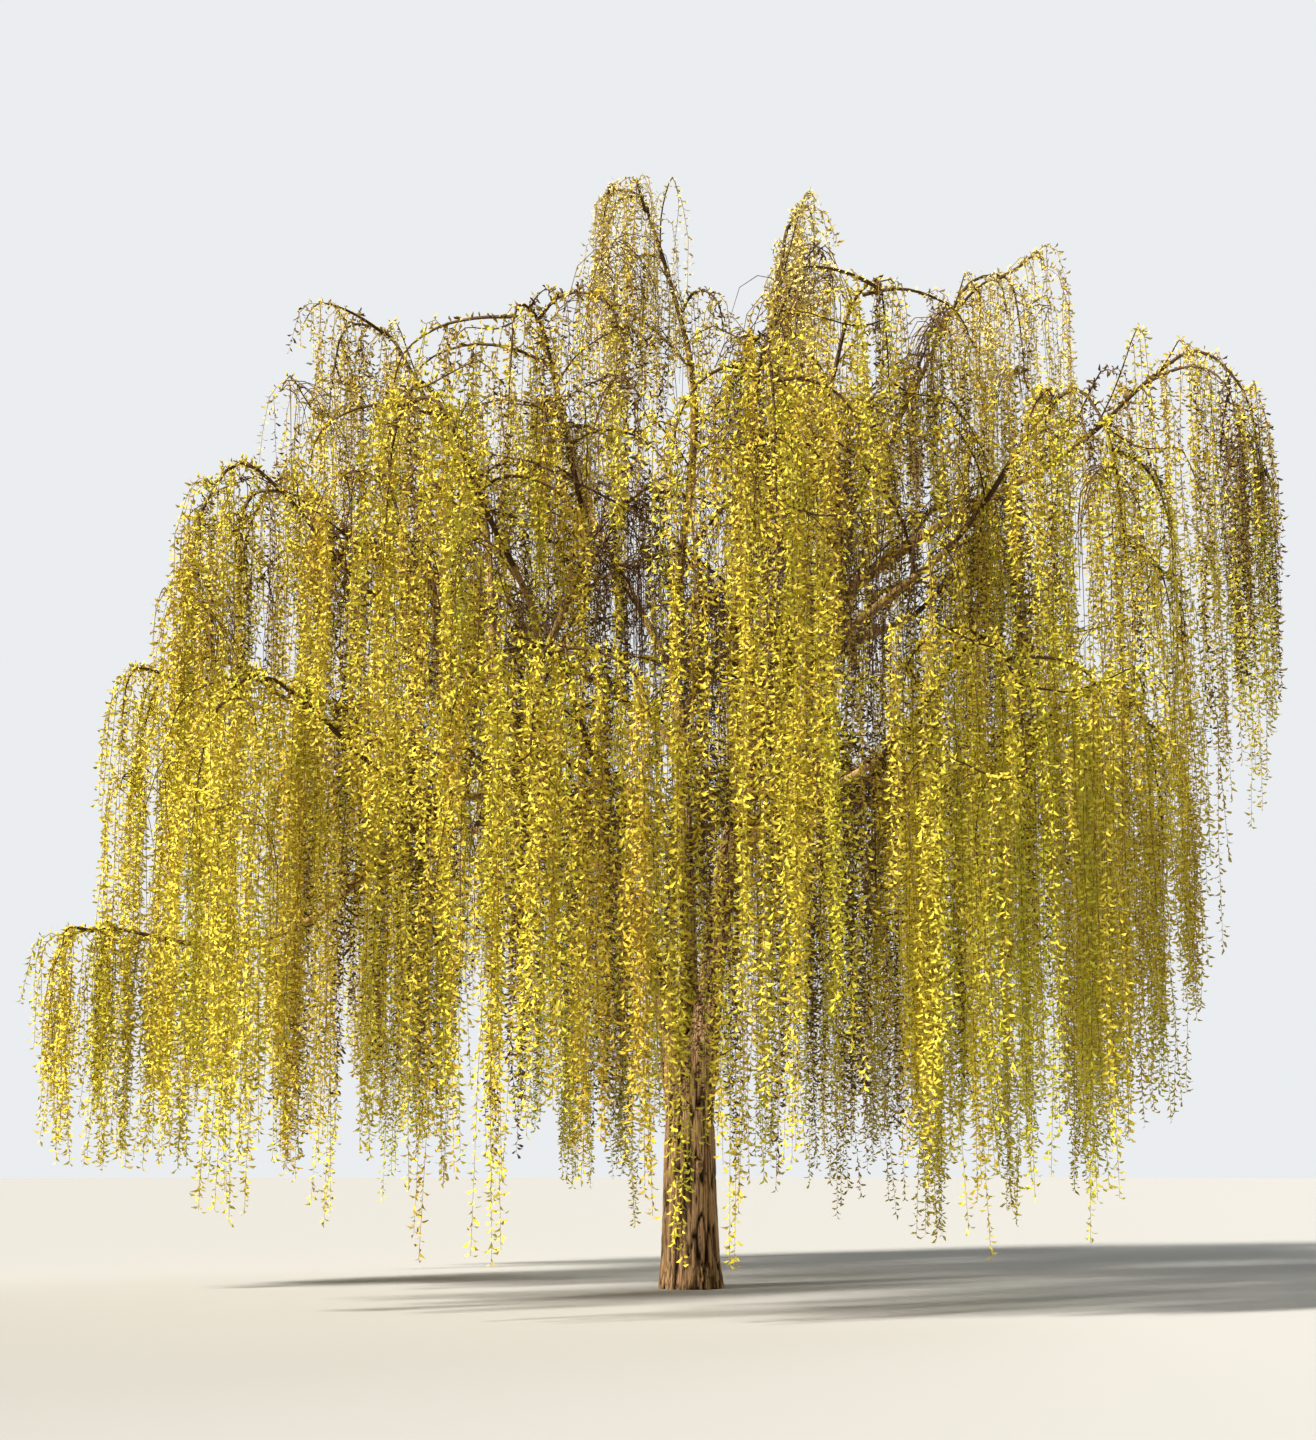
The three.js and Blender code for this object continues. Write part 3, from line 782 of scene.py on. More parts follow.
@functools.cache
def grown_lines():
    """All that grows on the limbs, by tier"""
    settings = bpy.context.scene.willow
    limbs, masses = grown_tree()
    tiers = {name: Growth() for name in TIER_NAMES}
    for mass in masses:
        growth = tiers[mass.tier]
        mass.hem = np.mean([spray.centres[-1][2] for limb in mass.limbs for spray in limb.sprays])
        for limb in mass.limbs:
            points = limb.rounded(np.linspace(0, 1, 3 * limb.steps + 1))
            growth.twig(points, (limb.radii[0], TIP_RADIUS / 2), deal_tones(mass.draw))
            for spray in limb.sprays:
                fill_spray(growth, mass, limb, spray, settings)
            add_shoots(growth, mass, limb, settings)
        bough = limbs[f"bough_{mass.name}"]
        add_side_twigs(
            growth, mass, bough, BOUGH_TWIG_RISE, INNER_SHARES, BARE_TWIGS[mass.tier], settings
        )
        add_side_twigs(
            growth, mass, mass.limbs[0], TOP_TWIG_RISE, TONE_SHARES, TOP_BARE_TWIGS[mass.tier],
            settings,
        )
    return tiers


# Node trees for what follows a line. Leaves turn on from each other by the golden angle, and lean,
# roll and grow each by chance.
LEAF_TURN = 137.5
LEAF_LOOSENESS = (-0.7, 0.7)
LEAF_LEAN = (-0.9, 0.4)
LEAF_ROLL = (-1.3, 1.3)
LEAST_LEAF, MOST_LEAF = 0.7, 1.15
KNOB_STEP, KNOB_DEPTH = 0.08, 0.03
KNOB_SCALE, KNOB_DETAIL = 13, 2
# The middle of what a noise gives
EVEN = 0.5


def node_tree(name, **inputs):
    """A tree that takes a line and these inputs, and its inputs' sockets"""
    tree = bpy.data.node_groups.new(name, "GeometryNodeTree")
    kinds = {"Geometry": "Geometry", **inputs}
    for label, kind in kinds.items():
        tree.interface.new_socket(
            label.replace("_", " "), in_out="INPUT", socket_type=f"NodeSocket{kind}"
        )
    tree.interface.new_socket("Geometry", in_out="OUTPUT", socket_type="NodeSocketGeometry")
    return tree, tree.nodes.new("NodeGroupInput").outputs


def add_node(tree, kind, *links, **settings):
    """A node with its settings; each link is (input, value or output socket)."""
    node = tree.nodes.new(kind)
    for key, value in settings.items():
        setattr(node, key, value)
    for place, value in links:
        if isinstance(value, bpy.types.NodeSocket):
            tree.links.new(value, node.inputs[place])
        else:
            node.inputs[place].default_value = value
    return node


def result(tree, kind, *links, **settings):
    """The first output of a new node"""
    return add_node(tree, kind, *links, **settings).outputs[0]


def calculated(tree, operation, *values):
    return result(tree, "ShaderNodeMath", *enumerate(values), operation=operation)


def ranged(tree, value, *ends):
    """A value moved from one range to another"""
    return result(tree, "ShaderNodeMapRange", ("Value", value), *ends)


def noisy(tree, place, scale, detail, *more):
    links = (("Vector", place), ("Scale", scale), ("Detail", detail), *more)
    return result(tree, "ShaderNodeTexNoise", *links)


def curve_along(tree, given):
    return result(tree, "GeometryNodeMeshToCurve", ("Mesh", given["Geometry"]))


def tube_along(tree, curve, given):
    """A tube along a curve, as thick as the curve says"""
    return result(
        tree, "GeometryNodeCurveToMesh", ("Curve", curve),
        ("Profile Curve", result(
            tree, "GeometryNodeCurvePrimitiveCircle", ("Resolution", given["Sides"]), ("Radius", 1)
        )),
        ("Scale", result(tree, "GeometryNodeInputNamedAttribute", ("Name", "thickness"))),
        ("Fill Caps", True),
    )


def finish_tree(tree, given, shape, is_smooth=True):
    """The tree's shape made real, and of the given material"""
    if is_smooth:
        shape = result(tree, "GeometryNodeSetShadeSmooth", ("Geometry", shape))
    real = result(tree, "GeometryNodeRealizeInstances", ("Geometry", shape))
    painted = result(
        tree, "GeometryNodeSetMaterial", ("Geometry", real), ("Material", given["Material"])
    )
    add_node(tree, "NodeGroupOutput", ("Geometry", painted))
    return tree


@functools.cache
def tube_tree():
    """A tube of a few sides along each line"""
    tree, given = node_tree("Tube along line", Sides="Int", Material="Material")
    return finish_tree(tree, given, tube_along(tree, curve_along(tree, given), given))


@functools.cache
def bough_tree():
    """A limb's tube with knobbly bark: it swells and sinks a little along its length."""
    tree, given = node_tree(
        "Bark along line", Sides="Int", Step="Float", Depth="Float", Material="Material"
    )
    even = result(
        tree, "GeometryNodeResampleCurve", ("Curve", curve_along(tree, given)),
        ("Length", given["Step"]), mode="LENGTH",
    )
    tube = tube_along(tree, even, given)
    place = result(tree, "GeometryNodeInputPosition")
    centred = calculated(tree, "SUBTRACT", noisy(tree, place, KNOB_SCALE, KNOB_DETAIL), EVEN)
    offset = result(
        tree, "ShaderNodeVectorMath", (0, result(tree, "GeometryNodeInputNormal")),
        ("Scale", calculated(tree, "MULTIPLY", centred, given["Depth"])), operation="SCALE",
    )
    moved = result(tree, "GeometryNodeSetPosition", ("Geometry", tube), ("Offset", offset))
    return finish_tree(tree, given, moved)


@functools.cache
def leaf_tree():
    """Leaves at even steps down each line, each turned on from the one before"""
    tree, given = node_tree(
        "Leaves along line", Leaf="Object", Spacing="Float", Turn="Float", Least_size="Float",
        Most_size="Float", Seed="Int", Material="Material",
    )
    places = add_node(
        tree, "GeometryNodeCurveToPoints", ("Curve", curve_along(tree, given)),
        ("Length", given["Spacing"]), mode="LENGTH",
    ).outputs
    leaf = add_node(tree, "GeometryNodeObjectInfo", ("Object", given["Leaf"])).outputs["Geometry"]

    def chance(number, low, high):
        seed = calculated(tree, "ADD", given["Seed"], number)
        links = ((2, low), (3, high), ("Seed", seed))
        return add_node(tree, "FunctionNodeRandomValue", *links).outputs[1]

    def turned(rotation, axis, angle):
        turn = result(tree, "FunctionNodeAxisAngleToRotation", ("Axis", axis), ("Angle", angle))
        links = (("Rotation", rotation), ("Rotate By", turn))
        return result(tree, "FunctionNodeRotateRotation", *links, rotation_space="LOCAL")

    around = calculated(tree, "MULTIPLY", result(tree, "GeometryNodeInputIndex"), given["Turn"])
    loose = calculated(tree, "ADD", around, chance(0, *LEAF_LOOSENESS))
    rotation = turned(places["Rotation"], (0, 0, 1), loose)
    rotation = turned(rotation, (0, 1, 0), chance(1, *LEAF_LEAN))
    rotation = turned(rotation, (1, 0, 0), chance(3, *LEAF_ROLL))
    placed = result(
        tree, "GeometryNodeInstanceOnPoints", ("Points", places["Points"]), ("Instance", leaf),
        ("Rotation", rotation), ("Scale", chance(2, given["Least size"], given["Most size"])),
    )
    return finish_tree(tree, given, placed, is_smooth=False)


def line_mesh(name, lines):
    """Open lines as one mesh of edges, with their thickness at each point"""
    points, thickness = (np.concatenate(parts) for parts in zip(*lines))
    goes_on = np.ones(len(points), bool)
    goes_on[np.cumsum([len(line[0]) for line in lines]) - 1] = False
    starts = np.nonzero(goes_on)[0]
    mesh = bpy.data.meshes.new(name)
    mesh.from_pydata(points, np.stack((starts, starts + 1), 1), [])
    add_attribute(mesh, "thickness", thickness)
    return mesh


def add_attribute(mesh, name, values):
    attribute = mesh.attributes.new(name, "FLOAT", "POINT")
    attribute.data.foreach_set("value", values.astype(np.float32))


def shaped(name, lines, tree, **values):
    """A piece whose mesh is what the node tree makes of these lines"""
    piece = bpy.data.objects.new(name, line_mesh(f"{name}_lines", lines))
    bpy.context.scene.collection.objects.link(piece)
    modifier = piece.modifiers.new("Shape", "NODES")
    modifier.node_group = tree
    for socket in tree.interface.items_tree:
        label = socket.name.replace(" ", "_")
        if socket.in_out == "INPUT" and label in values:
            modifier[socket.identifier] = values[label]
    return baked(piece)


def baked(piece):
    """The piece with its modifiers turned into plain mesh"""
    bpy.context.view_layer.update()
    depsgraph = bpy.context.evaluated_depsgraph_get()
    rough, final = piece.data, piece.evaluated_get(depsgraph)
    piece.data = bpy.data.meshes.new_from_object(final, depsgraph=depsgraph)
    piece.data.name = piece.name
    piece.modifiers.clear()
    bpy.data.meshes.remove(rough)
    if not piece.data.polygons:
        raise RuntimeError(f"{piece.name} came out empty")
    return piece


def grown_on(piece, nodes):
    """The piece rides on the tree's one body, in place of these nodes."""
    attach(piece, "root")
    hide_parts(*nodes)


def mass_nodes(tier=None):
    """The names of all masses, or of one tier's"""
    return [mass.name for mass in grown_tree()[1] if tier in (None, mass.tier)]


# Materials
STREAK_SHADE = 0.55
LICHEN_SHARE = 0.4
CRACK_SHARE = 0.75
CRACK_SINKING = -0.7
CRACK_WIDTH = 0.05
BARK_ROUGHNESS = (0.95, 0.8)
BARK_SPECULAR = 0.15
BUMP_STRENGTH = 0.8
# The scale and detail of the bark's noises, and the ranges of them that make its masks
FINE_GRAIN, FINE_ROUGHNESS, FINE_RANGE = (1, 6), 0.65, (0.32, 0.68)
STRIP_GRAIN, STRIP_DISTORTION = (0.6, 2), 0.15
BLOTCH_GRAIN, BLOTCH_RANGE = (2.6, 3), (0.42, 0.66)
FROM, TO = ("From Min", "From Max"), ("To Min", "To Max")
# The roughness and specular level of each plain thing
TWIG_SURFACE = (0.8, 0.3)
STRAND_SURFACE = (0.6, 0.3)
BARE_SURFACE = (0.75, 0.3)
LEAF_SURFACE = (0.6, 0.25)
FLOOR_SURFACE = (0.9, 0.1)


def plain_material(name, colour, roughness, specular):
    """A material of one colour, made once"""
    material = bpy.data.materials.get(name) or bpy.data.materials.new(name)
    material.use_nodes = True
    shader = material.node_tree.nodes["Principled BSDF"]
    shader.inputs["Base Color"].default_value = (*colour, 1)
    shader.inputs["Roughness"].default_value = roughness
    shader.inputs["Specular IOR Level"].default_value = specular
    return material


@functools.cache
def bark_grain():
    """Fine grain that runs along a limb: masks of its ridges, cracks and blotches, and height"""
    group = bpy.data.node_groups.new("Bark grain", "ShaderNodeTree")
    for label in ("Across", "Along"):
        group.interface.new_socket(label, in_out="INPUT", socket_type="NodeSocketFloat")
    for label in ("Mask", "Crack", "Blotch", "Height"):
        group.interface.new_socket(label, in_out="OUTPUT", socket_type="NodeSocketFloat")
    given = group.nodes.new("NodeGroupInput").outputs
    place = add_node(group, "ShaderNodeTexCoord").outputs["Object"]
    sizes = (given["Across"], given["Across"], given["Along"])
    scale = result(group, "ShaderNodeCombineXYZ", *enumerate(sizes))
    stretched = result(
        group, "ShaderNodeVectorMath", (0, place), (1, scale), operation="MULTIPLY"
    )
    fine = noisy(group, stretched, *FINE_GRAIN, ("Roughness", FINE_ROUGHNESS))
    strips = noisy(group, stretched, *STRIP_GRAIN, ("Distortion", STRIP_DISTORTION))
    blotch = noisy(group, place, *BLOTCH_GRAIN)
    apart = calculated(group, "ABSOLUTE", calculated(group, "SUBTRACT", strips, EVEN))
    crack = ranged(group, apart, *zip(FROM, (0, CRACK_WIDTH)), *zip(TO, (1, 0)))
    sunk = calculated(group, "MULTIPLY", crack, CRACK_SINKING)
    add_node(
        group, "NodeGroupOutput", ("Crack", crack),
        ("Mask", ranged(group, fine, *zip(FROM, FINE_RANGE))),
        ("Blotch", ranged(group, blotch, *zip(FROM, BLOTCH_RANGE))),
        ("Height", calculated(group, "ADD", fine, sunk)),
    )
    return group


def mixed(tree, factor, *colours):
    """A colour between two others"""
    low, high = (c if isinstance(c, bpy.types.NodeSocket) else (*c, 1) for c in colours)
    links = ((0, factor), (6, low), (7, high))
    return add_node(tree, "ShaderNodeMix", *links, data_type="RGBA").outputs[2]


def bark_material(name, ridge, across, along, bump):
    """Tan ridges, dark furrows and patches of lichen. The dark of the furrows and cracks is partly
    the bark's own colour and partly painted shade; in the knot hole it is painted shade.
    """
    settings = bpy.context.scene.willow
    material = bpy.data.materials.new(name)
    material.use_nodes = True
    tree = material.node_tree
    shader = tree.nodes["Principled BSDF"].inputs
    shader["Specular IOR Level"].default_value = BARK_SPECULAR
    sizes = (("Across", across), ("Along", along))
    grain = add_node(tree, "ShaderNodeGroup", *sizes, node_tree=bark_grain()).outputs
    depth = add_node(tree, "ShaderNodeAttribute", attribute_name="furrow").outputs["Fac"]
    colour = mixed(tree, grain["Mask"], tuple(STREAK_SHADE * part for part in ridge), ridge)
    patch = calculated(tree, "MULTIPLY", grain["Blotch"], LICHEN_SHARE)
    colour = mixed(tree, patch, colour, settings.lichen_colour)
    # Cracks and furrows take the furrow colour: partly the bark's own darker colour, partly
    # painted shade in the hollows.
    split = calculated(tree, "MULTIPLY", grain["Crack"], CRACK_SHARE)
    colour = mixed(tree, split, colour, settings.furrow_colour)
    colour = mixed(tree, depth, colour, settings.furrow_colour)
    rough = ranged(tree, grain["Mask"], *zip(TO, BARK_ROUGHNESS))
    relief = result(
        tree, "ShaderNodeBump", ("Strength", BUMP_STRENGTH), ("Distance", bump),
        ("Height", grain["Height"]),
    )
    for label, value in (("Base Color", colour), ("Roughness", rough), ("Normal", relief)):
        tree.links.new(value, shader[label])
    return material


# Bark in relief
# The size of each round of voxels, and how often they are smoothed
VOXELS = ((0.04, 7), (0.023, 2))
BELOW_GROUND = 0.25
TRUNK_RINGS, TRUNK_SIDES = 40, 48
CAP_SHARES, CAP_HEIGHT = (0.9, 0.7, 0.4), 0.12
LIMB_SIDES = 20
FIRST_ACROSS = (0.3, 1, 0.2)
CROTCH_SWELL = 0.35
CROTCH_LENGTH = 0.5
CENTRE_SAMPLES = 80
STUB_PLACE = (0.10, -0.24, 1.47)
STUB_WAY = (0.25, -1.0, 0.3)
STUB_LENGTH = 0.16
STUB_RADIUS = 0.052
STUB_SWELL = (1.5, 1.15, 1, 0.9)
KNOT_PLACE = (-0.15, -0.31, 1.96)
KNOT_RADIUS = 0.06
KNOT_DEPTH = 0.07
KNOT_STRETCH = (1, 1, 1.5)
KNOT_EDGES = (0.35, 1)
# How far the knot hole is darkened: painted shade in the hole
KNOT_PAINTED_SHADE = 1.2
RIM_PLACE, RIM_SPREAD, RIM_HEIGHT = 1.25, 0.08, 0.02
# Furrows: how wide they are on the trunk and stems, how many times as long, and how they wander
TRUNK_FURROW, STEM_FURROW = 0.062, 0.048
FURROW_STRETCH = 11
LIMB_SHIFT = 7
WANDER, WANDER_SCALE = 0.35, 0.7
RIPPLE_SCALE = (2.3, 2.3, 1.4)
RIPPLE_SHARE = 0.07
RIPPLE_HEIGHT = 0.3
FURROW_EDGES = (0.02, 0.25)
SEAM_EDGES = (0, 0.05)
THIN_LIMB_POWER = 0.8
# How many times the grain repeats in a metre across and along the limb, and its height
TRUNK_GRAIN = (46, 3.2, 0.02)
BOUGH_GRAIN = (40, 14, 0.008)


def trunk_radius(angle, z):
    """The trunk's radius tapers, is lobed at the root flare, and widens across under the fork."""
    plain = lerp(TRUNK_FOOT_RADIUS, TRUNK_NECK_RADIUS, min(1, z / TRUNK_NECK_HEIGHT))
    flare = FLARE * (1 + LOBE_DEPTH * math.cos(FLARE_LOBES * angle)) * math.exp(-z / FLARE_HEIGHT)
    fork_share = np.clip((z - TRUNK_NECK_HEIGHT) / (TRUNK_HEIGHT - TRUNK_NECK_HEIGHT), 0, 1)
    return plain + flare + FORK_WIDENING * fork_share * abs(math.cos(angle))


def ring_faces(rings, first):
    """The faces of a closed skin over rings of points, numbered from a first point"""
    count, sides = len(rings), len(rings[0])
    faces = []
    for start in range(first, first + (count - 1) * sides, sides):
        for side in range(sides):
            a, b = start + side, start + (side + 1) % sides
            faces.append((a, b, b + sides, a + sides))
    last = first + (count - 1) * sides
    faces += [tuple(reversed(range(first, first + sides))), tuple(range(last, last + sides))]
    return faces


def trunk_rings():
    rings = []
    heights = np.concatenate(([-BELOW_GROUND], np.linspace(0, TRUNK_HEIGHT, TRUNK_RINGS)))
    angles = np.linspace(0, 2 * math.pi, TRUNK_SIDES, endpoint=False)
    for z in heights:
        radii = [trunk_radius(angle, max(z, 0)) for angle in angles]
        level = np.full(TRUNK_SIDES, z)
        rings.append(np.stack((radii * np.cos(angles), radii * np.sin(angles), level), 1))
    top = rings[-1]
    for share in CAP_SHARES:
        rings.append(top * (share, share, 1) + UP * CAP_HEIGHT * (1 - share**2))
    return rings


def tube_rings(centres, radii):
    """Rings round a line, each turned on from the one before without a twist"""
    ways = np.gradient(centres, axis=0)
    side = unit(np.cross(ways[0], FIRST_ACROSS))
    angles = np.linspace(0, 2 * math.pi, LIMB_SIDES, endpoint=False)[:, None]
    rings = []
    for centre, way, radius in zip(centres, ways, radii):
        way = unit(way)
        side = unit(side - way * (side @ way))
        other = np.cross(way, side)
        rings.append(centre + radius * (np.cos(angles) * side + np.sin(angles) * other))
    return rings


def centre_lines():
    """The trunk's and stems' centre lines, with the radius and the length so far at each point"""
    shares = np.linspace(0, 1, CENTRE_SAMPLES)
    heights = shares * TRUNK_HEIGHT
    radii = np.array([trunk_radius(math.pi / 2, z) for z in heights])
    lines = [(UP * heights[:, None], radii, heights)]
    for name in STEMS:
        stem = grown_tree()[0][name]
        run = shares * stem.curve.length
        radii = lerp(*stem.radii, shares) * (1 + CROTCH_SWELL * np.exp(-run / CROTCH_LENGTH))
        lines.append((stem.rounded(shares), radii, run))
    return lines


def rough_trunk():
    """Trunk, stems and the stub as closed skins that run into each other"""
    skins = [trunk_rings()]
    skins += [tube_rings(centres, radii) for centres, radii, _ in centre_lines()[1:]]
    run = np.linspace(0, STUB_LENGTH, len(STUB_SWELL))
    stub = np.array(STUB_PLACE) + np.outer(run, unit(np.array(STUB_WAY)))
    skins.append(tube_rings(stub, STUB_RADIUS * np.array(STUB_SWELL)))
    points, faces = [], []
    for rings in skins:
        faces += ring_faces(rings, len(points))
        points += list(np.concatenate(rings))
    mesh = bpy.data.meshes.new("trunk_and_stems")
    mesh.from_pydata(points, [], faces)
    return mesh


def nearest_limb(points):
    """For each point: its limb's number, its offset from the centre line, the radius there, the
    length so far, and how much nearer that limb is than the next"""
    gaps, offsets, sizes, runs = [], [], [], []
    for centres, radii, run in centre_lines():
        apart = np.linalg.norm(points[:, None] - centres, axis=-1)
        near = (apart - radii).argmin(1)
        ways = np.gradient(centres, axis=0)[near]
        gaps.append(apart[range(len(points)), near] - radii[near])
        offsets.append(points - centres[near])
        sizes.append(radii[near])
        runs.append(run[near] + (offsets[-1] * ways).sum(1) / np.linalg.norm(ways, axis=1))
    limb = np.argmin(gaps, axis=0)
    nearest, second, *_ = np.sort(gaps, axis=0)
    chosen = (np.array(values)[limb, range(len(points))] for values in (offsets, sizes, runs))
    return limb, *chosen, second - nearest


def smooth_step(low, high, value):
    share = np.clip((value - low) / (high - low), 0, 1)
    return share * share * (3 - 2 * share)


def furrows(points):
    """How deep in a furrow each point lies, from 0 on a ridge to 1, with the bark's ripple and the
    limb's radius there. The furrows run along the limb and branch and join."""
    # Without a seed the noise's offsets would be others in each run.
    noise.seed_set(SEED)
    limb, offsets, sizes, runs, lead = nearest_limb(points)
    cells = np.where(limb == 0, TRUNK_FURROW, STEM_FURROW)
    depth = np.empty(len(points))
    ripple = np.empty(len(points))
    for row, (offset, cell, run, number) in enumerate(zip(offsets, cells, runs, limb)):
        along = run / (FURROW_STRETCH * cell) + LIMB_SHIFT * number
        place = Vector((offset[0] / cell, offset[1] / cell, along))
        wave = noise.noise(place + WANDER * noise.noise_vector(place * WANDER_SCALE))
        ripple[row] = noise.noise(Vector([s * p for s, p in zip(RIPPLE_SCALE, place)]))
        depth[row] = abs(wave) + RIPPLE_SHARE * ripple[row]
    deep = 1 - smooth_step(*FURROW_EDGES, depth)
    return deep * smooth_step(*SEAM_EDGES, lead), ripple, sizes


def vertex_values(mesh, kind):
    values = np.empty(3 * len(mesh.vertices), np.float32)
    mesh.vertices.foreach_get(kind, values)
    return values.reshape(-1, 3).astype(float)


def relieve(piece, furrow_depth):
    """Sinks the furrows and the knot hole into the bark, and keeps how deep each point lies. The
    material darkens by that depth: painted shade in the knot hole, and partly painted shade in the
    furrows.
    """
    mesh = piece.data
    points, normals = vertex_values(mesh, "co"), vertex_values(mesh, "normal")
    deep, ripple, sizes = furrows(points)
    depth = furrow_depth * np.minimum(1, sizes / TRUNK_NECK_RADIUS) ** THIN_LIMB_POWER
    from_knot = np.linalg.norm((points - KNOT_PLACE) / KNOT_STRETCH, axis=1) / KNOT_RADIUS
    hole = 1 - smooth_step(*KNOT_EDGES, from_knot)
    rim = RIM_HEIGHT * np.exp(-((from_knot - RIM_PLACE) ** 2) / RIM_SPREAD)
    push = depth * (RIPPLE_HEIGHT * ripple - deep * (1 - hole)) - KNOT_DEPTH * hole + rim
    points += normals * push[:, None]
    mesh.vertices.foreach_set("co", points.astype(np.float32).ravel())
    # The furrow attribute carries painted shade: the knot hole at full furrow colour, the furrows
    # partly.
    add_attribute(mesh, "furrow", np.clip(np.maximum(deep, KNOT_PAINTED_SHADE * hole), 0, 1))


def cut_flat(piece):
    """A flat cut at ground level closes the trunk."""
    mesh = bmesh.new()
    mesh.from_mesh(piece.data)
    everything = mesh.verts[:] + mesh.edges[:] + mesh.faces[:]
    cut = bmesh.ops.bisect_plane(
        mesh, geom=everything, plane_co=(0, 0, 0), plane_no=(0, 0, 1), clear_inner=True
    )
    rim = [part for part in cut["geom_cut"] if isinstance(part, bmesh.types.BMEdge)]
    bmesh.ops.contextual_create(mesh, geom=rim)
    mesh.to_mesh(piece.data)
    mesh.free()


# Leaves and catkins
LEAF_SHARES = (0, 0.34, 0.67, 1)
LEAF_SIDES = (0, 0.5, -0.5, 0)
LEAF_BENDS = (35, 60, 100, 130)
CURL_STEPS = 50
# A catkin's corners round its middle, as shares of its width, and its middle and tip as shares of
# its length
CATKIN_CORNERS = ((1, 0), (-0.5, 0.87), (-0.5, -0.87))
CATKIN_MIDDLE, CATKIN_SAG, TIP_SAG = 0.45, 0.2, 0.1


def leaf_shape(length, width):
    """A narrow twisted leaf of two faces that leaves the strand along X and curls. Z is down the
    strand."""
    fine = np.linspace(0, 1, CURL_STEPS)
    bends = np.interp(fine, np.linspace(0, 1, len(LEAF_BENDS)), LEAF_BENDS)
    x, z = walked(np.radians(bends), fine[1] * length)
    x, z = np.interp(LEAF_SHARES, fine, x), np.interp(LEAF_SHARES, fine, z)
    mesh = bpy.data.meshes.new("leaf")
    mesh.from_pydata(np.stack((x, width * np.array(LEAF_SIDES), z), 1), [], [(0, 1, 2), (2, 1, 3)])
    return bpy.data.objects.new("leaf", mesh)


def catkin_shape(length, width):
    """A slim spindle of three sides that leaves the strand along X"""
    points = [(0, 0, 0)]
    for x, z in CATKIN_CORNERS:
        height = CATKIN_SAG * length + width / 2 * z
        points.append((CATKIN_MIDDLE * length, width / 2 * x, height))
    points.append((length, 0, TIP_SAG * length))
    pairs = [(side + 1, (side + 1) % 3 + 1) for side in range(3)]
    faces = [(0, *pair) for pair in pairs] + [(4, *reversed(pair)) for pair in pairs]
    mesh = bpy.data.meshes.new("catkin")
    mesh.from_pydata(points, [], faces)
    return bpy.data.objects.new("catkin", mesh)


def tone_lines(growth):
    """Each tone's stretches of strand, dealt out by how high they hang"""
    lines = {}
    for points, thickness, tones in growth.leafed:
        middles = (points[:-1, 2] + points[1:, 2]) / 2
        blur = TONE_BLUR * math.sin(BLUR_WAVE * points[0, 0])
        bands = np.searchsorted(TONE_LEVELS, middles + blur)
        first = 0
        for last in range(1, len(bands) + 1):
            tone = tones[bands[first]]
            if last == len(bands) or tones[bands[last]] != tone:
                stretch = slice(first, last + 1)
                lines.setdefault(tone, []).append((points[stretch], thickness[stretch]))
                first = last
    return lines


def linear(*screen):
    """A colour seen on a screen, as light"""
    shares = (part / 255 for part in screen)
    return tuple(((s + 0.055) / 1.055) ** 2.4 if s > 0.04 else s / 12.92 for s in shares)


def colour_property(name, description, *screen):
    return bpy.props.FloatVectorProperty(
        name=name, description=description, default=linear(*screen), size=3, min=0, max=1,
        subtype="COLOR",
    )


def size_property(name, description, default):
    return bpy.props.FloatProperty(
        name=name, description=description, default=default, min=0, unit="LENGTH"
    )


def number_property(name, description, default):
    return bpy.props.IntProperty(name=name, description=description, default=default, min=0)


class WillowSettings(bpy.types.PropertyGroup):
    """The sizes and colours that a user would change"""

    furrow_depth: size_property("Furrow depth", "Depth of the furrows in the trunk's bark", 0.026)
    leaf_spacing: size_property("Leaf spacing", "Length of strand between two leaves", 0.036)
    leaf_length: size_property("Leaf length", "Length of a leaf along its curl", 0.113)
    leaf_width: size_property("Leaf width", "Width of a leaf at its widest", 0.038)
    catkin_spacing: size_property("Catkin spacing", "Length of strand between two catkins", 0.065)
    catkin_length: size_property("Catkin length", "Length of a catkin", 0.07)
    catkin_width: size_property("Catkin width", "Thickness of a catkin", 0.025)
    shoot_spacing: size_property("Shoot spacing", "Length of limb between two shoots", 0.28)
    strands_per_spray: number_property("Strands per spray", "Main strands in each spray", 3)
    side_strands: number_property("Side strands", "Strands that leave each main strand", 2)
    inner_strands: number_property("Inner strands", "Strands at each place of a side twig", 1)
    lemon_colour: colour_property("Lemon", "Leaves in the sun, low on the tree", 216, 199, 66)
    lime_colour: colour_property("Lime", "Greener leaves", 194, 186, 56)
    gold_colour: colour_property("Gold", "Leaves of the upper crown", 196, 171, 54)
    # The dark olive of the leaves inside the crown and in its gaps is painted shade.
    olive_colour: colour_property("Olive", "Dull leaves inside the crown", 92, 68, 28)
    primrose_colour: colour_property("Primrose", "Pale leaves of the upper crown", 214, 198, 112)
    cream_colour: colour_property("Cream", "Catkins at the top", 228, 217, 160)
    strand_colour: colour_property("Strand", "Thin hanging twigs", 128, 99, 44)
    twig_colour: colour_property("Twig", "Arching twigs", 78, 56, 32)
    bare_colour: colour_property("Bare twig", "Thin bare twigs inside the crown", 84, 58, 32)
    bough_colour: colour_property("Bough bark", "Smoother bark of the boughs", 206, 168, 110)
    ridge_colour: colour_property("Bark ridge", "Ridges of the bark", 250, 200, 148)
    # Dark bark of the furrows and cracks, partly painted shade; in the knot hole, painted shade.
    furrow_colour: colour_property("Bark furrow", "Depths of the bark", 32, 20, 13)
    lichen_colour: colour_property("Lichen", "Greenish patches on the bark", 184, 156, 92)
    floor_colour: colour_property("Floor", "Plain pale floor", 178, 177, 173)


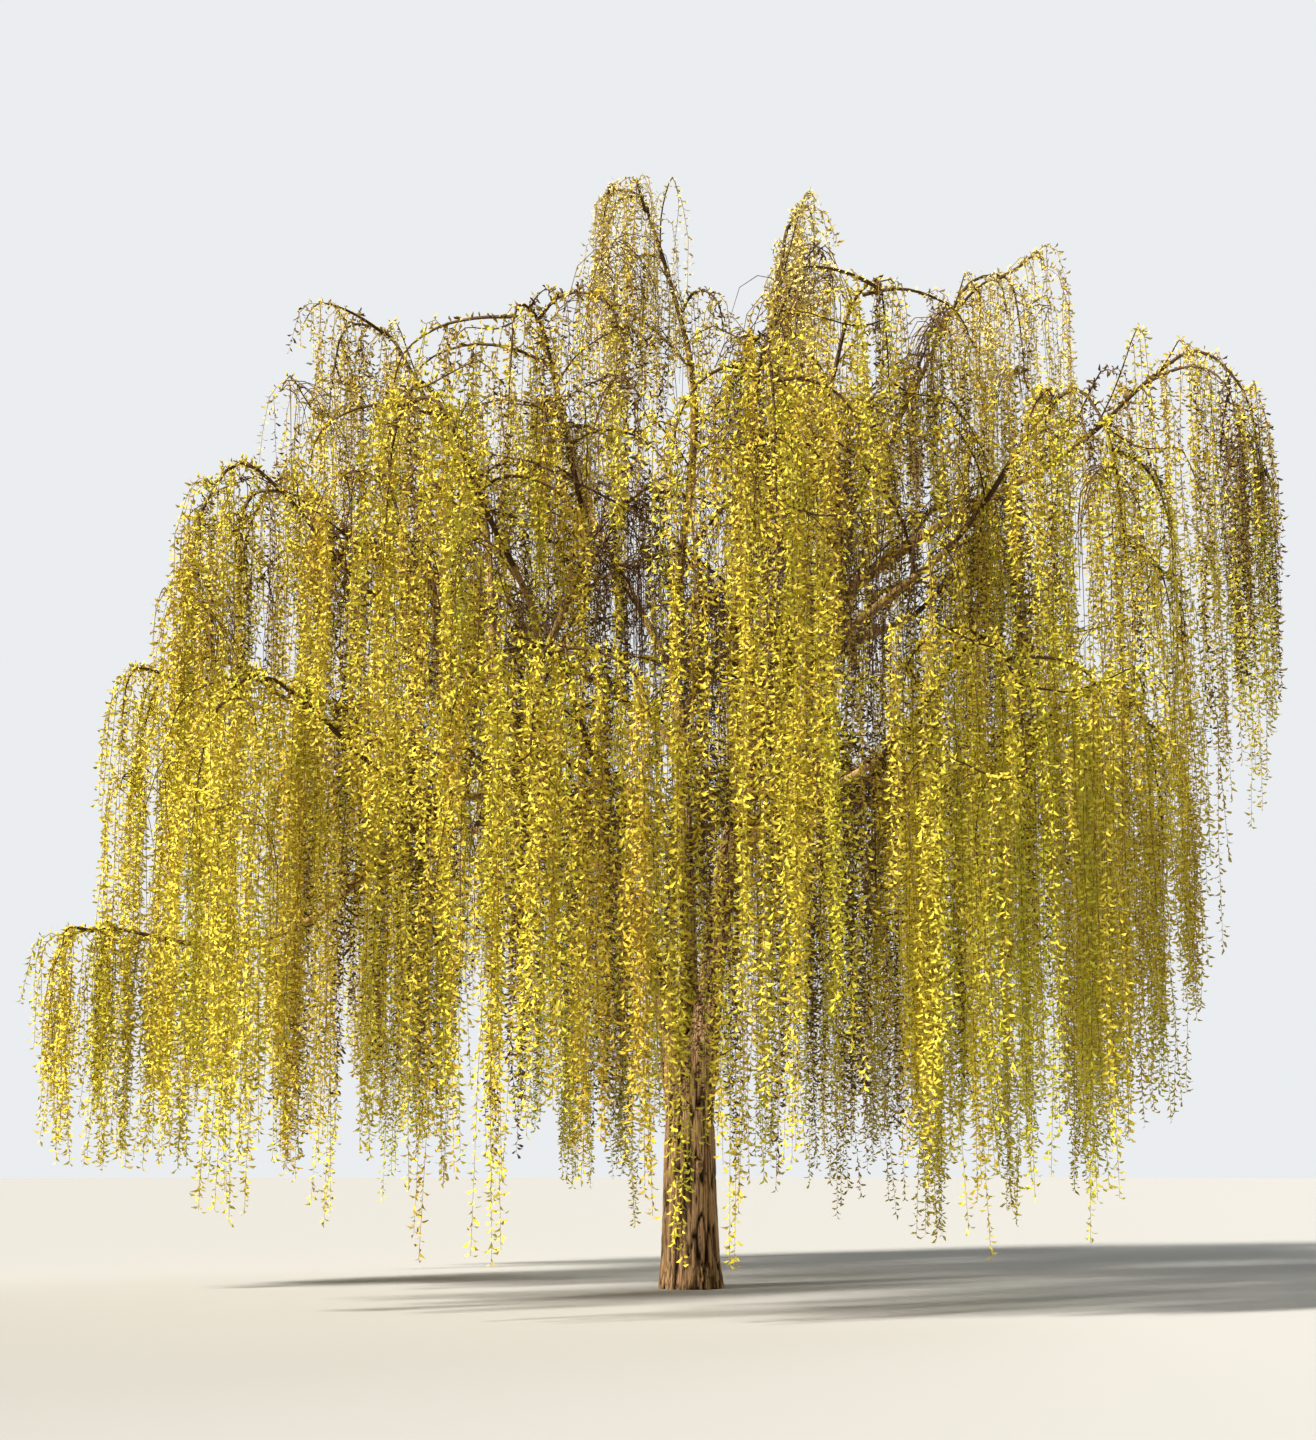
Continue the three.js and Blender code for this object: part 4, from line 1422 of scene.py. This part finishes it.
class WillowTrunk(bpy.types.Operator):
    """Makes the trunk and its three stems as one skin of furrowed bark"""

    bl_idname = "willow.trunk"
    bl_label = "Trunk and stems"

    def execute(self, context):
        settings = context.scene.willow
        piece = bpy.data.objects.new("trunk_bark", rough_trunk())
        context.scene.collection.objects.link(piece)
        for voxel, smoothing in VOXELS:
            remesh = piece.modifiers.new("Skin", "REMESH")
            remesh.mode = "VOXEL"
            remesh.voxel_size = voxel
            remesh.use_smooth_shade = True
            soften = piece.modifiers.new("Soften", "SMOOTH")
            soften.iterations = smoothing
        baked(piece)
        relieve(piece, settings.furrow_depth)
        cut_flat(piece)
        bark = bark_material("trunk bark", settings.ridge_colour, *TRUNK_GRAIN)
        piece.data.materials.append(bark)
        grown_on(piece, ["trunk", *STEMS])
        return {"FINISHED"}


BOUGH_SAMPLES = 24
ROOT_SWELL, ROOT_SHARE = 0.45, 0.05
BOUGH_SIDES, TWIG_SIDES, STRAND_SIDES = 8, 5, 3
# Dead stubs that a limb was left with: the limb, the share along it, the way, length and radius
DEAD_STUBS = (
    ("bough_skirt_front", 0.22, (0.03, -0.05, -1), 0.5, 0.024),
    ("bough_skirt_right_front", 0.35, (0.3, -0.4, 0.6), 0.3, 0.02),
    ("bough_shoulder_left_front", 0.4, (-0.2, -0.8, 0.3), 0.34, 0.022),
    ("bough_crown_right", 0.5, (0.5, -0.6, 0.1), 0.32, 0.02),
    ("stem_left", 0.55, (-0.7, -0.6, 0.2), 0.34, 0.034),
    ("stem_right", 0.62, (0.6, -0.7, 0.15), 0.36, 0.034),
    ("stem_middle", 0.4, (0.5, 0.7, 0.3), 0.3, 0.03),
)
DEAD_SHARES = (0, 0.3, 0.7, 1)
DEAD_SWELL = (1.4, 1, 0.9, 0.7)


class WillowBoughs(bpy.types.Operator):
    """Makes the boughs, with knobbly bark and a swollen root on the stem"""

    bl_idname = "willow.boughs"
    bl_label = "Boughs"

    def execute(self, context):
        limbs = grown_tree()[0]
        boughs = {name: limb for name, limb in limbs.items() if name not in STEMS}
        shares = np.linspace(0, 1, BOUGH_SAMPLES)
        swell = 1 + ROOT_SWELL * np.exp(-shares / ROOT_SHARE)
        lines = [(b.rounded(shares), lerp(*b.radii, shares) * swell) for b in boughs.values()]
        for name, share, way, length, radius in DEAD_STUBS:
            reach = np.outer(DEAD_SHARES, unit(np.array(way)) * length)
            lines.append((limbs[name].rounded(share) + reach, radius * np.array(DEAD_SWELL)))
        piece = shaped(
            "bough_bark", lines, bough_tree(), Sides=BOUGH_SIDES, Step=KNOB_STEP, Depth=KNOB_DEPTH,
            Material=bark_material("bough bark", context.scene.willow.bough_colour, *BOUGH_GRAIN),
        )
        grown_on(piece, boughs)
        return {"FINISHED"}


class WillowTwigs(bpy.types.Operator):
    """Makes the arching twigs of all the masses"""

    bl_idname = "willow.twigs"
    bl_label = "Arching twigs"

    def execute(self, context):
        bark = plain_material("twig bark", context.scene.willow.twig_colour, *TWIG_SURFACE)
        lines = [line for growth in grown_lines().values() for line in growth.twigs]
        piece = shaped("arching_twigs", lines, tube_tree(), Sides=TWIG_SIDES, Material=bark)
        grown_on(piece, mass_nodes())
        return {"FINISHED"}


class WillowStrands(bpy.types.Operator):
    """Makes the thin strands that hang from the twigs, one piece for each tier"""

    bl_idname = "willow.strands"
    bl_label = "Hanging strands"

    def execute(self, context):
        settings = context.scene.willow
        strand_bark = plain_material("strand bark", settings.strand_colour, *STRAND_SURFACE)
        bare_bark = plain_material("bare twig bark", settings.bare_colour, *BARE_SURFACE)
        bare = [line for growth in grown_lines().values() for line in growth.bare]
        pieces = [("bare_twigs", bare, bare_bark, None)]
        for tier, growth in grown_lines().items():
            pieces.append((f"strands_{tier}", growth.strands, strand_bark, tier))
        for name, lines, bark, tier in pieces:
            piece = shaped(name, lines, tube_tree(), Sides=STRAND_SIDES, Material=bark)
            grown_on(piece, mass_nodes(tier))
        return {"FINISHED"}


class WillowLeaves(bpy.types.Operator):
    """Sets curled leaves and catkins down every strand, one piece for each tier and tone"""

    bl_idname = "willow.leaves"
    bl_label = "Leaves and catkins"

    def execute(self, context):
        settings = context.scene.willow
        leaf = leaf_shape(settings.leaf_length, settings.leaf_width)
        catkin = catkin_shape(settings.catkin_length, settings.catkin_width)
        for number, (tier, growth) in enumerate(grown_lines().items()):
            for tone, lines in sorted(tone_lines(growth).items()):
                kind, shape, spacing = "leaves", leaf, settings.leaf_spacing * OPENNESS[tier]
                if tone == "cream":
                    kind, shape, spacing = "catkins", catkin, settings.catkin_spacing
                colour = getattr(settings, f"{tone}_colour")
                piece = shaped(
                    f"{kind}_{tier}_{tone}", lines, leaf_tree(), Leaf=shape, Spacing=spacing,
                    Turn=math.radians(LEAF_TURN), Least_size=LEAST_LEAF, Most_size=MOST_LEAF,
                    Seed=number, Material=plain_material(f"{tone} leaves", colour, *LEAF_SURFACE),
                )
                grown_on(piece, mass_nodes(tier))
        for shape in (leaf, catkin):
            bpy.data.objects.remove(shape)
        return {"FINISHED"}


class WillowStage(bpy.types.Operator):
    """Makes the pale floor, the light and the camera"""

    bl_idname = "willow.stage"
    bl_label = "Floor, light and camera"

    def execute(self, context):
        scene = context.scene
        bpy.ops.mesh.primitive_circle_add(
            vertices=FLOOR_SIDES, radius=FLOOR_RADIUS, fill_type="NGON"
        )
        floor = context.object
        floor.name = "floor"
        pale = plain_material("pale floor", scene.willow.floor_colour, *FLOOR_SURFACE)
        floor.data.materials.append(pale)

        for name, (way, strength, softness, colour) in LAMPS.items():
            light = bpy.data.lights.new(name, "SUN")
            light.energy = strength
            light.angle = math.radians(softness)
            light.color = colour
            lamp = bpy.data.objects.new(name, light)
            lamp.rotation_euler = Vector(way).to_track_quat("Z", "Y").to_euler()
            scene.collection.objects.link(lamp)

        scene.world = bpy.data.worlds.new("pale room")
        scene.world.use_nodes = True
        tree = scene.world.node_tree
        tree.nodes.clear()
        seen = add_node(tree, "ShaderNodeLightPath")
        links = [(0, seen.outputs["Is Camera Ray"])]
        for place, (colour, strength) in enumerate((ROOM_LIGHT, BACKDROP), 1):
            light = (("Color", colour), ("Strength", strength))
            links.append((place, result(tree, "ShaderNodeBackground", *light)))
        shown = result(tree, "ShaderNodeMixShader", *links)
        add_node(tree, "ShaderNodeOutputWorld", ("Surface", shown))
        scene.view_settings.view_transform = "Standard"

        camera = bpy.data.cameras.new("camera")
        camera.sensor_width = SENSOR
        camera.lens = CAMERA_FOCUS / PHOTO_HEIGHT * SENSOR
        eye = bpy.data.objects.new("camera", camera)
        eye.location = CAMERA_PLACE
        eye.rotation_euler = (math.radians(90 + CAMERA_PITCH), 0, 0)
        scene.collection.objects.link(eye)
        scene.camera = eye
        return {"FINISHED"}


class WillowPanel(bpy.types.Panel):
    """Lists the tree's pieces and settings"""

    bl_idname = "VIEW3D_PT_willow"
    bl_label = "Weeping willow"
    bl_space_type = "VIEW_3D"
    bl_region_type = "UI"
    bl_category = "Willow"

    def draw(self, context):
        for operator in OPERATORS:
            self.layout.operator(operator.bl_idname)
        for name in WillowSettings.__annotations__:
            self.layout.prop(context.scene.willow, name)


# The photograph's camera: its eye stands 28 m before the trunk, at 1.6 m, and looks a little up.
PHOTO_HEIGHT = 1440
CAMERA_FOCUS = 2182
SENSOR = 36
CAMERA_PLACE = (-0.4, -28, 1.6)
CAMERA_PITCH = 11.32

FLOOR_RADIUS, FLOOR_SIDES = 150, 64
# Each lamp's way from the tree, strength, softness and colour. The fill lights the far sides.
LAMPS = {
    "sun": ((-0.78, -0.54, 0.7), 8.8, 8, (1, 0.955, 0.88)),
    "fill": ((0.55, 0.8, 0.45), 2.0, 40, (0.95, 0.98, 1)),
}
# Colour and strength of the light that the pale room gives, and of the room as it is seen
ROOM_LIGHT = ((0.9, 0.95, 1, 1), 0.06)
BACKDROP = ((0.83, 0.85, 0.87, 1), 1)

OPERATORS = (WillowStage, WillowTrunk, WillowBoughs, WillowTwigs, WillowStrands, WillowLeaves)
CLASSES = (WillowSettings, *OPERATORS, WillowPanel)


def register():
    for kind in CLASSES:
        bpy.utils.register_class(kind)
    bpy.types.Scene.willow = bpy.props.PointerProperty(type=WillowSettings)


def unregister():
    del bpy.types.Scene.willow
    for kind in reversed(CLASSES):
        bpy.utils.unregister_class(kind)


def main():
    register()
    for operator in OPERATORS:
        family, action = operator.bl_idname.split(".")
        getattr(getattr(bpy.ops, family), action)()


if __name__ == "__main__":
    main()
